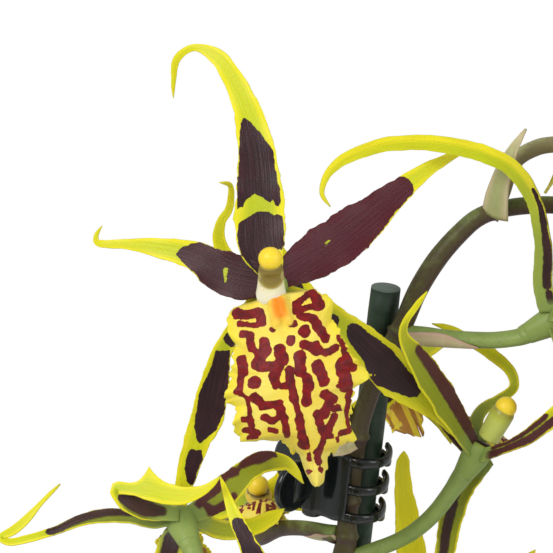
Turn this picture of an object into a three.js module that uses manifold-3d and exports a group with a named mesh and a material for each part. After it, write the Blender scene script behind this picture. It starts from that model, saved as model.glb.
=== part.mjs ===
// A potted cambria orchid: one arching flower spike tied to a stake by a small claw clip, standing in a
// plain nursery pot of bark with four pseudobulbs and their strap leaves.
// Millimetres, +Z up, origin in the middle of the pot's flat underside. The front is -Y.
import * as THREE from "three";
import { mergeVertices } from "three/addons/utils/BufferGeometryUtils.js";
import Module from "manifold-3d";

const wasm = await Module();
wasm.setup();

// Driving dimensions of the pot, the bark and the bulbs.
const GAP = 0.3;
const POT = { height: 105, top: 58, foot: 44, wall: 1.6, floor: 2.2, rim: 11, lip: 2.4, hole: 4,
  holeRing: 28 };
const BARK = { level: 91, relief: 2.2, rings: 5, spokes: 18 };
const BULB = { broad: 17, thick: 9.5, high: 35, sunk: 12 };

// Driving dimensions of the stake, the stem and the pedicels.
const STAKE = { radius: 3.05, top: new THREE.Vector3(28, -8, 500), foot: new THREE.Vector3(-17.2, 24.7, 48) };
const STEM = { foot: 2.6, waist: 2.0, slim: 1.75, end: 1.2, sides: 6, steps: 32 };
const PEDICEL = { stem: 1.6, neck: 1.7, mouth: 2.2, sides: 5, steps: 6 };
const THICK = { tepal: 0.75, lip: 0.8, leaf: 1.0, bract: 0.7 };
const HUB = { radius: 3.6, front: 2.4, depth: 5.5 };

// Driving dimensions of the claw clip, in the plane square to the stake: b points right, c to the front.
const CLIP = { rise: -39.4, hinge: [-9.8, 1.9], pin: 0.65, bore: 0.95, knuckle: 2.1, length: 15.4 };
const CLAW = { centre: [-1, 2.2], across: 4.9, deep: 6.3, thick: 1.3, wide: 1.5, pitch: 6, stagger: 2.0 };
const PADDLE = { radius: 5.7, thick: 1.4, out: 6.9, turn: 48 };

// The flowers are laid out in the view plane through the top of the stake, seen from the front and from
// 14 degrees above: x to the right, z up, and out towards the viewer, who stands 600 mm away.
const TILT = THREE.MathUtils.degToRad(14);
const VIEW = { distance: 600, x: -21.9, z: 2.1 };
const RIGHT = new THREE.Vector3(1, 0, 0);
const UP = new THREE.Vector3(0, Math.sin(TILT), Math.cos(TILT));
const OUT = new THREE.Vector3(0, -Math.cos(TILT), Math.sin(TILT));

function direction(x, z, out) {
  return new THREE.Vector3().addScaledVector(RIGHT, x).addScaledVector(UP, z).addScaledVector(OUT, out);
}

function place(x, z, out) {
  const shrink = (VIEW.distance - out) / VIEW.distance;
  const across = VIEW.x + (x - VIEW.x) * shrink;
  const rise = VIEW.z + (z - VIEW.z) * shrink;
  return direction(across, rise, out).add(STAKE.top);
}

// A repeatable random number between -1 and 1.
function randomFrom(seed) {
  let state = seed * 7919 + 17;
  return () => {
    state = (state * 16807) % 2147483647;
    return (state / 2147483647) * 2 - 1;
  };
}

// Closed solids from rings and sheets, and the joins and cuts between them.
function geometryFrom(points, triangles) {
  const geometry = new THREE.BufferGeometry();
  const numbers = points.flatMap((p) => [p.x, p.y, p.z]);
  geometry.setAttribute("position", new THREE.Float32BufferAttribute(numbers, 3));
  geometry.setIndex(triangles.flat());
  return geometry;
}

function solid(geometry) {
  const bare = new THREE.BufferGeometry();
  bare.setAttribute("position", geometry.getAttribute("position"));
  bare.setIndex(geometry.getIndex());
  const merged = mergeVertices(bare, 1e-4);
  const index = merged.getIndex().array;
  const faces = [];
  for (let i = 0; i < index.length; i += 3) {
    const [a, b, c] = [index[i], index[i + 1], index[i + 2]];
    if (a !== b && b !== c && c !== a) faces.push(a, b, c);
  }
  const vertProperties = new Float32Array(merged.getAttribute("position").array);
  const raw = new wasm.Mesh({ numProp: 3, vertProperties, triVerts: new Uint32Array(faces) });
  const body = new wasm.Manifold(raw);
  if (body.volume() > 0) return body;
  const turned = new Uint32Array(faces).reverse();
  return new wasm.Manifold(new wasm.Mesh({ numProp: 3, vertProperties, triVerts: turned }));
}

function largestBody(body) {
  return body.decompose().reduce((best, piece) => (piece.volume() > best.volume() ? piece : best));
}

function geometryOf(body) {
  const { vertProperties, triVerts } = largestBody(body).getMesh();
  const geometry = new THREE.BufferGeometry();
  geometry.setAttribute("position", new THREE.BufferAttribute(new Float32Array(vertProperties), 3));
  geometry.setIndex(new THREE.BufferAttribute(new Uint32Array(triVerts), 1));
  return geometry;
}

function joined(bodies) {
  return bodies.reduce((whole, body) => whole.add(body));
}

// Rings of points, each the same count, skinned into a closed solid.
function loft(rings) {
  const count = rings[0].length;
  const points = rings.flat();
  const triangles = [];
  for (let i = 0; i < rings.length - 1; i += 1) {
    for (let k = 0; k < count; k += 1) {
      const [a, b] = [i * count + k, i * count + ((k + 1) % count)];
      triangles.push([a, b, b + count], [a, b + count, a + count]);
    }
  }
  const last = (rings.length - 1) * count;
  for (let k = 1; k < count - 1; k += 1) {
    triangles.push([0, k + 1, k], [last, last + k, last + k + 1]);
  }
  return solid(geometryFrom(points, triangles));
}

// A grid of points with a way to face at each, thickened into a closed sheet split alike on both faces.
function sheet(rows, thick) {
  const [down, across] = [rows.length, rows[0].length];
  const size = down * across;
  const shifted = (side) => rows.flat().map((p) => p.at.clone().addScaledVector(p.face, (side * thick) / 2));
  const triangles = [];
  for (let i = 0; i < down - 1; i += 1) {
    for (let j = 0; j < across - 1; j += 1) {
      const [a, b, c, d] = [i * across + j, i * across + j + 1, (i + 1) * across + j + 1,
        (i + 1) * across + j];
      triangles.push([a, b, c], [a, c, d], [a + size, c + size, b + size], [a + size, d + size, c + size]);
    }
  }
  const edge = [];
  for (let j = 0; j < across; j += 1) edge.push(j);
  for (let i = 1; i < down; i += 1) edge.push(i * across + across - 1);
  for (let j = across - 2; j >= 0; j -= 1) edge.push((down - 1) * across + j);
  for (let i = down - 2; i > 0; i -= 1) edge.push(i * across);
  edge.forEach((a, k) => {
    const b = edge[(k + 1) % edge.length];
    triangles.push([a, a + size, b], [b, a + size, b + size]);
  });
  return solid(geometryFrom([...shifted(1), ...shifted(-1)], triangles));
}

function tube(points, radii, sides, steps) {
  const curve = new THREE.CatmullRomCurve3(points, false, "centripetal");
  const rings = [];
  let side = null;
  for (let i = 0; i <= steps; i += 1) {
    const t = i / steps;
    const tangent = curve.getTangent(t);
    const hint = side ?? (Math.abs(tangent.z) < 0.9 ? new THREE.Vector3(0, 0, 1) : RIGHT);
    side = hint.clone().addScaledVector(tangent, -hint.dot(tangent)).normalize();
    const other = new THREE.Vector3().crossVectors(tangent, side);
    const centre = curve.getPoint(t);
    const radius = valueAt(radii, t);
    rings.push(circle(sides).map(([u, v]) =>
      centre.clone().addScaledVector(side, u * radius).addScaledVector(other, v * radius)));
  }
  return loft(rings);
}

function circle(sides) {
  return Array.from({ length: sides }, (_, k) => {
    const angle = (2 * Math.PI * (k + 0.5)) / sides;
    return [Math.cos(angle), Math.sin(angle)];
  });
}

// The value of a list of numbers a fraction t of the way along it.
function valueAt(list, t) {
  const spot = Math.min(Math.max(t, 0), 1) * (list.length - 1);
  const low = Math.min(Math.floor(spot), list.length - 2);
  return list[low] + (list[low + 1] - list[low]) * (spot - low);
}

// A thin blade along a smooth line through its stations: at, width and face give each one's middle, width
// and the way its upper side looks. Cup lifts the margins, as a part of the width.
function blade(stations, { thick = THICK.tepal, cup = 0.1, steps = 9, grow = 0 } = {}) {
  const curve = new THREE.CatmullRomCurve3(stations.map((s) => s.at), false, "centripetal");
  const faces = new THREE.CatmullRomCurve3(stations.map((s) => s.face), false, "centripetal");
  const widths = stations.map((s) => s.width + grow);
  const rows = [];
  for (let i = 0; i <= steps; i += 1) {
    const t = i / steps;
    const tangent = curve.getTangent(t);
    const side = new THREE.Vector3().crossVectors(tangent, faces.getPoint(t)).normalize();
    const face = new THREE.Vector3().crossVectors(side, tangent).normalize();
    const width = Math.max(valueAt(widths, t), 0.9);
    rows.push([-1, 0, 1].map((s) => ({
      at: curve.getPoint(t).addScaledVector(side, (s * width) / 2).addScaledVector(face, cup * width * s * s),
      face,
    })));
  }
  return sheet(rows, thick + grow);
}

// A blade whose middle line was laid out in the view plane: each row holds x, z and width, and its depth
// runs from one end's to the other's with a bow between.
function traced(rows, { from, to, bow = 0, face = [0, 0, 1] }) {
  return rows.map(([x, z, width], i) => {
    const t = i / (rows.length - 1);
    const out = from + (to - from) * t + bow * Math.sin(Math.PI * t);
    const look = Array.isArray(face[0]) ? [0, 1, 2].map((k) => valueAt(face.map((f) => f[k]), t)) : face;
    return { at: place(x, z, out), width: width * (1 - out / VIEW.distance),
      face: direction(...look).normalize() };
  });
}

// A bloom's own axes: face is the way it looks, up its top and right its right-hand side.
function axesOf(face, top, roll = 0) {
  const f = direction(...face).normalize();
  const up = direction(...(top ?? [0, 1, 0]));
  up.addScaledVector(f, -up.dot(f)).normalize().applyAxisAngle(f, THREE.MathUtils.degToRad(roll));
  return { face: f, up, right: new THREE.Vector3().crossVectors(up, f) };
}

function inAxes(heart, axes, r, u, f) {
  const spot = heart.clone().addScaledVector(axes.right, r).addScaledVector(axes.up, u);
  return spot.addScaledVector(axes.face, f);
}

// The five long tepals of a bloom in its own axes: r, u, f and width, one row a station.
const TEPALS = {
  dorsal: [[0, 1, -0.4, 4], [0, 7, 0.2, 8], [0, 16, 1.8, 9], [0, 27, 1, 7.6], [0.5, 38, -4, 4.4],
    [1, 45, -11, 2], [1, 48, -19, 0.9]],
  petalR: [[1, 1, -0.4, 4], [7, 4, 0.6, 8], [15, 9, 2, 9], [24, 14, 0, 6.4], [32, 18, -5, 3.4],
    [37, 19, -12, 1.6], [39, 17, -18, 0.9]],
  sepalR: [[1, -1, -0.4, 4], [5, -8, -0.6, 5.4], [10, -18, 0, 7.6], [14, -28, -2, 6.8], [17, -38, -7, 4],
    [19, -44, -14, 2], [19, -46, -21, 0.9]],
};
TEPALS.petalL = TEPALS.petalR.map(([r, u, f, w]) => [-r, u, f, w]);
TEPALS.sepalL = TEPALS.sepalR.map(([r, u, f, w]) => [-r, u, f, w]);

// The lip's half widths down its length, from the crest to the tip.
const LIP_LENGTH = 38;
const LIP_CLAW = 1.8;
const LIP_LEFT = [8, 10.6, 10.2, 11, 12.6, 14.4, 13, 12.6, 6, 2.2, 0.8];
const LIP_RIGHT = [8, 10.4, 10, 11, 12.4, 14.4, 11, 9.4, 8.4, 3, 0.8];

// Every bloom: its heart, the way it looks, where its pedicel leaves the stem and the points between, and
// the tepals whose line was laid out in the view plane. The others follow TEPALS.
const BLOOMS = [
  {
    heart: [-23, 0.5, 34], face: [0, 0.05, 1], lipRoll: 12, lipSize: 0.93, via: [[-8, -25, -3],
      [-14, -13, 6], [-20, -3, 20]],
    from: [-5.6, -29.5, -4.6],
    tepals: {
      dorsal: {
        from: 34, to: 16, bow: 2, steps: 12,
        rows: [[-23, 3, 5], [-24.8, 8, 9.3], [-25.2, 13.5, 10.2], [-25.3, 19.4, 9.2], [-25.8, 26, 7.6],
          [-26.7, 31.5, 6.5], [-28.4, 37, 5], [-30.8, 42, 4], [-34, 46.2, 3.2], [-38.4, 47.9, 1.4],
          [-41.8, 45.6, 1.5], [-42.5, 41.6, 1], [-42.5, 37.8, 0.5]],
      },
      petalL: {
        from: 34, to: 22, bow: 2, steps: 9,
        rows: [[-24.5, 1, 6], [-29, 1.8, 8.8], [-32.8, 3.1, 8.6], [-36.8, 5.5, 6.4], [-41, 7, 5],
          [-46, 7.9, 3.8], [-52, 8.6, 2], [-57.5, 8.8, 1.4], [-58, 10.2, 0.9], [-56.8, 12.2, 0.6]],
      },
      petalR: {
        from: 34, to: 11, bow: 1, steps: 8,
        rows: [[-21.5, 1.5, 4], [-17, 4.5, 8], [-12, 7.6, 9.7], [-7, 11.1, 9.4], [-2, 15.2, 7],
          [3, 19.5, 4.8],
          [8, 23.3, 3], [12.4, 25.8, 1.8], [16, 27.5, 0.9]],
      },
      sepalL: {
        from: 32, to: 17, bow: 2, steps: 8,
        rows: [[-24.5, -0.5, 2.6], [-30, -8, 3.2], [-32.9, -13.5, 4], [-34.4, -20, 6], [-35.6, -25.4, 6.5],
          [-38, -31.5, 5.1], [-40, -38, 4], [-41, -43.5, 2.4], [-41.5, -47, 0.9]],
      },
      sepalR: {
        from: 32, to: 6, bow: 0, steps: 8,
        rows: [[-21.5, -0.5, 3], [-14, -3.5, 4], [-8.5, -7.8, 5.6], [-3.4, -12.6, 8], [2, -17.7, 8.6],
          [6.5, -21.8, 6], [10.6, -25.8, 2.6], [14, -30, 0.9]],
      },
    },
  },
  {
    heart: [18.4, -33.2, 2], face: [0.45, 0.88, 0.1], lipUp: [0, 0, 1], lipSize: 0.6,
    lipLift: 0.3, column: [[20.5, -30.1, 4], [23.8, -24.4, 6.4]],
    from: [-7.9, -54.8, -12.6],
    via: [[-4, -53.2, -11], [1.5, -51.2, -10.4], [5.5, -49, -8], [9.6, -45.4, -5], [13.4, -40.4, -2]],
    tepals: {
      dorsal: {
        from: 2, to: 31, bow: 3, steps: 10, face: [0.3, 0.2, 1],
        rows: [[18, -33, 4], [15.8, -29.5, 4.6], [13.4, -25.7, 5.8], [10.6, -21.2, 6.3], [8, -17.2, 6],
          [5.4, -13.2, 4.4], [3.4, -9.6, 2.2], [3.9, -7, 1.4], [6.2, -3.6, 1.2], [8.2, -1, 0.6]],
      },
      petalR: {
        from: 0.4, to: -3, bow: -2, steps: 9,
        rows: [[18.8, -31.4, 2.6], [17.9, -27.8, 2.8], [19.2, -24.6, 2.4], [22.4, -22.6, 2], [25.6, -20, 1.9],
          [24.8, -16.8, 2.1], [21, -13.3, 2.5], [17.5, -11.2, 2], [13.4, -8.6, 1.5], [9.2, -7.3, 0.6]],
      },
      petalL: {
        from: 1, to: -3, bow: 1, steps: 4, face: [0, 0.3, 1],
        rows: [[18, -33.4, 4], [14.9, -30.4, 3.4], [11.6, -26.6, 3.4], [9.4, -24, 1.6]],
      },
      sepalR: {
        from: 4, to: 24, bow: 2, steps: 6, face: [0.1, 0.4, 0.9],
        rows: [[19, -33.8, 3], [23.5, -32.3, 2.4], [28.5, -29.9, 3.2], [33.5, -26, 3.6], [37.4, -22.8, 3],
          [41.4, -21, 2], [45, -21.4, 0.9]],
      },
      sepalL: {
        from: 0, to: -14, bow: -3, steps: 7, face: [-0.2, 0, 1],
        rows: [[20.6, -34.4, 3], [16.7, -37.8, 5], [14.4, -42, 4.8], [12.9, -47, 4.6], [11.8, -53, 4],
          [11.1, -60, 2.6], [12, -66, 0.9]],
      },
    },
  },
  {
    heart: [33.2, -6.8, 8], face: [0.9, 0.42, 0], from: [2.8, -9.4, 2.6],
    via: [[7, -9.5, 3.4], [12, -10.2, 4.4], [17, -10.6, 5], [22, -10.7, 5.6], [27, -10, 6.4]],
    tepals: {
      dorsal: {
        from: 10, to: 23, bow: 4, steps: 14, face: [[-0.5, -0.1, 1], [-0.5, -0.2, 1], [0, -0.4, 1],
          [0.2, -0.3, 1]],
        rows: [[32.4, -5, 3.6], [31.4, 1, 4.2], [31.6, 6.5, 3.8], [31, 12, 3.5], [29.8, 16.8, 3.3],
          [27.9, 20.6, 3.6], [24.6, 24.3, 3.6], [20.3, 26.4, 3.6], [14.5, 28, 3.5], [7.5, 28.9, 3.2],
          [0.5, 28.6, 3], [-5, 27.1, 2.7], [-9.2, 25, 2.2], [-11.8, 22.3, 1.5], [-12.8, 18.6, 0.9],
          [-11.1, 16, 0.6]],
      },
      petalL: {
        from: 11, to: 16, bow: 9, steps: 7, face: [0.3, 0.5, 1],
        rows: [[33, -5.4, 4], [38, -3.4, 8], [45, -5, 8.4], [51.4, -9, 5.6], [55.6, -13.4, 3],
          [57.6, -18, 0.9]],
      },
      petalR: {
        from: 5, to: -28, bow: -3, steps: 7, face: [0.6, -0.4, 0.6],
        rows: [[33, -5.4, 4], [37, 1, 8], [43, 6, 8.6], [50, 8.6, 5.6], [55, 10, 3], [58, 8, 0.9]],
      },
      sepalL: {
        from: 9, to: 12, bow: 3, steps: 7, face: [0.6, 0.4, 0.8],
        rows: [[34, -8.4, 4], [36, -14, 5], [37.6, -23, 6.4], [38.6, -32, 5], [39.4, -40, 2.6],
          [39, -46, 0.9]],
      },
      sepalR: {
        from: 5, to: -34, bow: 0, steps: 7, face: [0.8, 0.3, 0.4],
        rows: [[34, -8.4, 4], [34.6, -13.4, 5], [36.6, -20, 7], [39, -27, 6], [40.4, -33, 3], [41, -38, 0.9]],
      },
    },
  },
  {
    heart: [-41, -46.8, 29], face: [-0.3, 0.4, -0.85], from: [-9.5, -63.5, -15.8],
    via: [[-16, -67, -8], [-28, -66, 12], [-35.6, -61, 27], [-38.4, -53.4, 34]], lipFace: [0, 0.4, -0.9],
    lipUp: [-0.16, 0.88, 0.4], lipSize: 0.45, lipLift: 0.3, column: [[-42.2, -45.1, 25.2],
      [-42.4, -45.5, 22.2]],
    tepals: {
      dorsal: {
        from: 30, to: 24, bow: -1, steps: 12, face: [0, 0.6, 0.8],
        rows: [[-41.5, -46.2, 3], [-46, -46.7, 3.8], [-51, -46, 3.3], [-56, -45.8, 3.2], [-61, -46.7, 2.7],
          [-66, -48.7, 1.9], [-71, -50.2, 1.8], [-75.5, -51, 1.6], [-77, -50.1, 1.4], [-74.5, -48.7, 2],
          [-72, -46.6, 1.8], [-69.2, -43.4, 1], [-65.2, -39.4, 0.6]],
      },
      petalL: {
        from: 31, to: 39, bow: 1, steps: 12,
        face: [[0, 0.6, 0.8], [0, 0.3, 1], [0, 0.3, 1], [0, 0.2, 1], [0, 0.2, 1]],
        rows: [[-41.5, -45.6, 3], [-45.4, -45, 4], [-49, -44, 4.8], [-52, -42.4, 4.4], [-53.8, -40.4, 2.8],
          [-51, -40.4, 2.4], [-47.5, -40.8, 3.8], [-43.5, -41.6, 4], [-39.5, -41.6, 3.2], [-36.2, -40.4, 1.8],
          [-33, -37.8, 0.6]],
      },
      petalR: {
        from: 29, to: 16, bow: 2, steps: 9, face: [0, 0.5, 0.9],
        rows: [[-40, -46, 3.4], [-36.2, -44, 5.2], [-33.5, -42, 6.8], [-31, -39.8, 6], [-28, -37, 5],
          [-25, -35.2, 4.8], [-22, -34.9, 4.4], [-19.4, -35.6, 2.8], [-16.5, -39.3, 0.6]],
      },
      sepalR: {
        from: 28.4, to: 18, bow: 0, steps: 6, face: [0, 0.4, 1],
        rows: [[-40, -46.4, 2.6], [-37.2, -46.8, 3.8], [-34.2, -48.3, 4.1], [-30.8, -48.7, 4],
          [-26.7, -48, 3.7],
          [-23, -46.2, 3], [-20.4, -44.4, 0.9]],
      },
      sepalL: {
        from: 29, to: 20, bow: 3, steps: 7, face: [-0.3, 0, 1],
        rows: [[-41, -47.4, 3.4], [-42.8, -51, 5], [-43.5, -55, 6], [-43.4, -61, 5.4], [-44.5, -68, 3.6],
          [-47, -75, 2], [-51, -79, 0.9]],
      },
    },
  },
  {
    heart: [-25.4, -42.6, -34], face: [-0.1, 0.1, 1], from: [-9.8, -49.6, -11], lipFace: [0, 1, -0.1],
    lipUp: [0, -0.1, -1], lipSize: 0.42, lipLift: 0.5, lipDrop: 6, column: [[-25.4, -42.1, -29.9],
      [-25.6, -39.9, -26.6]],
    via: [[-13, -48.8, -14], [-17, -48.2, -19], [-21, -48.4, -25], [-24.6, -50, -32.6],
      [-25.4, -49.6, -41.4]],
    tepals: {
      dorsal: {
        from: -34, to: -40, bow: 4, steps: 6,
        rows: [[-25.2, -41.4, 3], [-21, -39.4, 4.4], [-17.6, -36, 6], [-15.6, -30, 7], [-16, -22, 5.4],
          [-18, -15, 2.6], [-20, -10, 0.9]],
      },
      petalL: {
        from: -34, to: -60, bow: 4, steps: 6,
        rows: [[-26.5, -42, 4], [-31, -43.6, 4.4], [-36, -45, 4.4], [-41, -46.4, 3], [-46, -46.4, 2],
          [-50, -45.8, 0.9]],
      },
      petalR: {
        from: -34, to: -66, bow: 4, steps: 5,
        rows: [[-24.4, -42.4, 3], [-19.4, -42, 5], [-14, -42, 6.4], [-8, -42, 4], [-4.4, -43, 1.8],
          [-3.6, -46, 0.9]],
      },
      sepalL: {
        from: -34, to: -62, bow: 2, steps: 6, face: [[-0.3, 0.2, 1], [-0.3, 1, 0.2], [-0.3, 1, 0.2],
          [-1, 0.3, 0.2]],
        rows: [[-27, -44.2, 3], [-30, -46.8, 4.6], [-34, -48, 6.4], [-38, -49.4, 6], [-39.8, -54, 4.6],
          [-39.4, -61, 2.4], [-38.6, -66, 0.9]],
      },
      sepalR: {
        from: -34, to: -54, bow: 0, steps: 6, face: [[0.3, 0.2, 1], [0.3, 1, 0.2], [0.3, 1, 0.2],
          [1, 0.3, 0.2]],
        rows: [[-23.8, -44.6, 3], [-21.4, -47.4, 4.6], [-17.6, -48.4, 6.4], [-13, -48.8, 6],
          [-9.4, -51, 4.6], [-8.6, -56, 2.4], [-9, -60, 0.9]],
      },
    },
  },
  {
    heart: [3, -18.6, -26], face: [-0.31, 0.78, -0.54], up: [-0.2, 0.5, 0.84],
    from: [-1.4, -18.4, 0.8], lipSize: 0.58,
    via: [[3.4, -18.6, -1.4], [5, -18.8, -9], [3.8, -18.8, -17]], column: [[2.1, -16.2, -27.9],
      [0.9, -12.2, -30.6]],
    tepals: {
      petalL: {
        from: -26, to: -8, bow: -4, steps: 11,
        rows: [[0.6, -19.4, 3], [-5, -16.6, 5], [-13, -10.4, 6.4], [-21, -4.6, 7], [-28, 1.4, 5],
          [-32.4, 6.8, 3],
          [-33.5, 10.4, 2.4], [-32.9, 13.1, 1.8], [-31.5, 15.4, 1.6], [-31, 18.1, 1.3], [-31.2, 20.4, 1],
          [-33.2, 20.9, 0.6]],
      },
      dorsal: {
        from: -29, to: -26, bow: -9, steps: 7,
        rows: [[-0.4, -19, 3.4], [-6.4, -14, 5], [-13, -7.4, 7], [-19, -0.6, 7.6], [-24, 8, 6.4],
          [-25.6, 17, 4],
          [-25.8, 24, 2], [-26.4, 29, 0.9]],
      },
      petalR: {
        from: -26, to: -42, bow: 0, steps: 5, face: [0, 1, 0.6],
        rows: [[4.6, -17.4, 3], [7.2, -13.6, 3.8], [11, -11, 4], [15, -10.4, 3], [19.4, -10.4, 1.6],
          [22.4, -10.8, 0.9]],
      },
      sepalR: {
        from: -25.6, to: -20, bow: 3, steps: 5, face: [0, 0.6, 1],
        rows: [[4.2, -19.6, 3.4], [6, -21.4, 4], [8.4, -23.8, 4.2], [10.8, -26.6, 3], [12.2, -29, 2],
          [13, -31.4, 0.9]],
      },
      sepalL: {
        from: -26, to: -26, bow: 3, steps: 5,
        rows: [[1.8, -20, 4], [-3, -24, 5.4], [-8.6, -28.6, 6.6], [-13.6, -33.4, 4.6], [-17.4, -38, 2],
          [-19.6, -42, 0.9]],
      },
    },
  },
  {
    heart: [-22.5, -66, 40], face: [-0.1, 0.1, 1], from: [-11.3, -78, -20.8],
    via: [[-13.4, -79, -10], [-17.5, -76, 8], [-21.5, -69, 26]],
    tepals: {
      dorsal: {
        from: 40, to: 33, bow: 2, steps: 8,
        rows: [[-22.6, -64.6, 4], [-24, -59, 5], [-26, -54.6, 4.6], [-28, -50.6, 3.5], [-29.8, -46.8, 2.9],
          [-31.2, -43.4, 2], [-32.3, -40.2, 1.1], [-33.2, -37.8, 0.6]],
      },
      petalL: {
        from: 40, to: 26, bow: 4, steps: 6,
        rows: [[-23.6, -66, 4], [-30, -64, 8], [-37, -62.4, 9], [-46, -62, 6], [-55, -63, 3],
          [-61, -66, 0.9]],
      },
      petalR: {
        from: 40, to: 20, bow: 4, steps: 6,
        rows: [[-21.4, -66, 4], [-15, -63.6, 8], [-8, -61.4, 9], [1, -60, 6], [9, -61.4, 3], [14, -65, 0.9]],
      },
    },
  },
  {
    heart: [6.4, -71, -45], face: [0.15, 0.15, -1], from: [-12.7, -92, -25.6],
    via: [[-8, -90.4, -23.6], [-3, -87, -28], [2.4, -80, -35]],
    tepals: {
      dorsal: {
        from: -45, to: -40, bow: -4, steps: 7,
        rows: [[6.2, -69.6, 4], [5.7, -62, 6.6], [4.9, -52, 5.8], [4.2, -46, 4.8], [3.6, -41, 3.7],
          [3.3, -37, 3], [3.6, -33, 2.2]],
      },
      petalR: {
        from: -45, to: -60, bow: 2, steps: 6,
        rows: [[7.4, -70.6, 4], [14, -66.4, 8], [21, -61.6, 8], [26.6, -57, 4], [29.8, -52.6, 1]],
      },
      petalL: {
        from: -45, to: -70, bow: -4, steps: 6,
        rows: [[5, -70.6, 4], [-2, -67, 8], [-9, -64.6, 8], [-18, -64, 5], [-26, -66, 2.6], [-31, -70, 0.9]],
      },
      sepalR: {
        from: -45, to: -46, steps: 6,
        rows: [[5.6, -72.6, 4], [2, -80, 5.4], [-2, -90, 7.4], [-5, -100, 6], [-6, -109, 3], [-5, -115, 0.9]],
      },
    },
  },
  {
    heart: [50, 40, 17], face: [0.35, 0.1, 0.9], roll: -14, from: [21.5, 15.4, 6],
    via: [[23, 18.4, 9.4], [25.6, 25, 9], [30.2, 27.9, 6.6], [37, 29, 4], [43, 32, 5], [47, 36, 9]],
    tepals: {
      petalL: {
        from: 18, to: -6, bow: 5, steps: 8, face: [0.5, 0, 0.8],
        rows: [[48.6, 40.4, 4], [45.4, 38.8, 6.6], [42, 35.6, 7], [39, 31.4, 5], [36.4, 26.6, 3.4],
          [33.8, 22, 2.6], [31.8, 18.8, 0.9]],
      },
      sepalL: {
        from: 18, to: 14, bow: 2, steps: 6,
        rows: [[49, 38, 4], [47.4, 32, 5.4], [45, 24, 7.2], [44, 15, 6.4], [44.6, 8, 3.6], [46.6, 3, 1.8],
          [50, 0.4, 0.9]],
      },
    },
  },
  {
    heart: [82, -21, 34], face: [0.3, 0, 1], roll: 4, from: [54, 13.3, 3.6],
    via: [[57.4, 8, 9], [64, -3, 17], [75, -14, 22]],
  },
];

function tepalStations(spec, name, heart, axes, random) {
  const given = spec.tepals?.[name];
  if (given) return traced(given.rows, given);
  return TEPALS[name].map(([r, u, f, width], i) => {
    const sway = i < 2 ? 0 : i - 1;
    return {
      at: inAxes(heart, axes, r + sway * 0.7 * random(), u + sway * 0.7 * random(),
        f + sway * 0.5 * random()),
      width: width * 0.95,
      face: axes.face,
    };
  });
}

// The hub: the flat-fronted middle of a bloom, narrowing behind to the width of its pedicel.
function hub({ heart, axes, back, arrival }) {
  const face = axes.face.dot(arrival) > 0 ? axes.face : axes.face.clone().negate();
  const profile = [[0, PEDICEL.mouth], [0.5, 2.9], [0.8, HUB.radius], [1, HUB.radius * 0.8]];
  const rings = profile.map(([t, radius]) => {
    const centre = back.clone().lerp(heart, t).addScaledVector(axes.face, HUB.front * t ** 3);
    const way = arrival.clone().lerp(face, t ** 2).normalize();
    const side = axes.right.clone().addScaledVector(way, -axes.right.dot(way)).normalize();
    const other = new THREE.Vector3().crossVectors(way, side);
    return circle(6).map(([u, v]) =>
      centre.clone().addScaledVector(side, u * radius).addScaledVector(other, v * radius));
  });
  return loft(rings);
}

function bloomPlan(spec, number) {
  const axes = axesOf(spec.face, spec.up, spec.roll);
  const heart = place(...spec.heart);
  const path = [spec.from, ...spec.via].map((p) => place(...p));
  const arrival = heart.clone().sub(path[path.length - 1]).normalize();
  const back = heart.clone().addScaledVector(arrival, -HUB.depth);
  return { spec, number, axes, heart, path, back, arrival, random: randomFrom(number + 3) };
}

function tepalsOf(plan) {
  const { spec, axes, heart, random } = plan;
  const blades = ["dorsal", "petalL", "petalR", "sepalL", "sepalR"].map((name) =>
    blade(tepalStations(spec, name, heart, axes, random), { steps: spec.tepals?.[name]?.steps ?? 6 }));
  return joined([hub(plan), ...blades]);
}

// The lip: a narrow claw off the hub, then a shield with wavy margins, its middle arched forward and its
// flanks falling back.
function lipOf({ spec, heart, number }) {
  const axes = axesOf(spec.lipFace ?? spec.face, spec.lipUp ?? spec.up,
    (spec.roll ?? 0) + (spec.lipRoll ?? 0));
  const size = spec.lipSize ?? 1;
  const lift = spec.lipLift ?? 1;
  const drop = spec.lipDrop ?? 0;
  const detail = number === 1 ? { down: 13, across: 6 } : { down: 7, across: 4 };
  const rows = [];
  for (let i = -1; i <= detail.down; i += 1) {
    const t = Math.max(i, 0) / detail.down;
    const row = [];
    for (let j = 0; j <= detail.across; j += 1) {
      const s = (2 * j) / detail.across - 1;
      const half = i < 0 ? LIP_CLAW : valueAt(s < 0 ? LIP_LEFT : LIP_RIGHT, t) * size;
      const frill = Math.abs(s) > 0.9 ? 0.8 * Math.cos(i * Math.PI) : 0;
      const hump = 5 * Math.sin(Math.PI * Math.min(t * 1.15, 1));
      const arch = 2 + lift * (3.2 + hump - 4.4 * s * s - 5 * t * t + frill);
      const [u, f] = i < 0 ? [-3.1, HUB.front + GAP + THICK.lip / 2] : [-4.2 - t * LIP_LENGTH * size, arch];
      row.push({ at: inAxes(heart, axes, (i < 0 ? 0 : 1.5 * (1 - t)) + s * half, u, f - drop),
        face: axes.face });
    }
    rows.push(row);
  }
  return sheet(rows, THICK.lip);
}

// The column: a short stout post in front of the hub that ends in the rounded anther cap.
function columnOf(plan) {
  const { spec, heart, axes } = plan;
  const foot = spec.column ? place(...spec.column[0]) : inAxes(heart, axes, 0, 0.2, HUB.front + 2 * GAP);
  const bent = inAxes(heart, axes, 0, 0.5, HUB.front + 2.2);
  const knee = spec.column ? foot.clone().lerp(place(...spec.column[1]), 0.5) : bent;
  const cap = spec.column ? place(...spec.column[1]) : inAxes(heart, axes, 0, 5.2, 8.4);
  const tip = cap.clone().addScaledVector(cap.clone().sub(knee).normalize(), 2);
  return tube([foot, knee, cap, tip], [2.4, 2.6, 2.5, 2.3, 2.3, 1], 6, 4);
}

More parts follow.
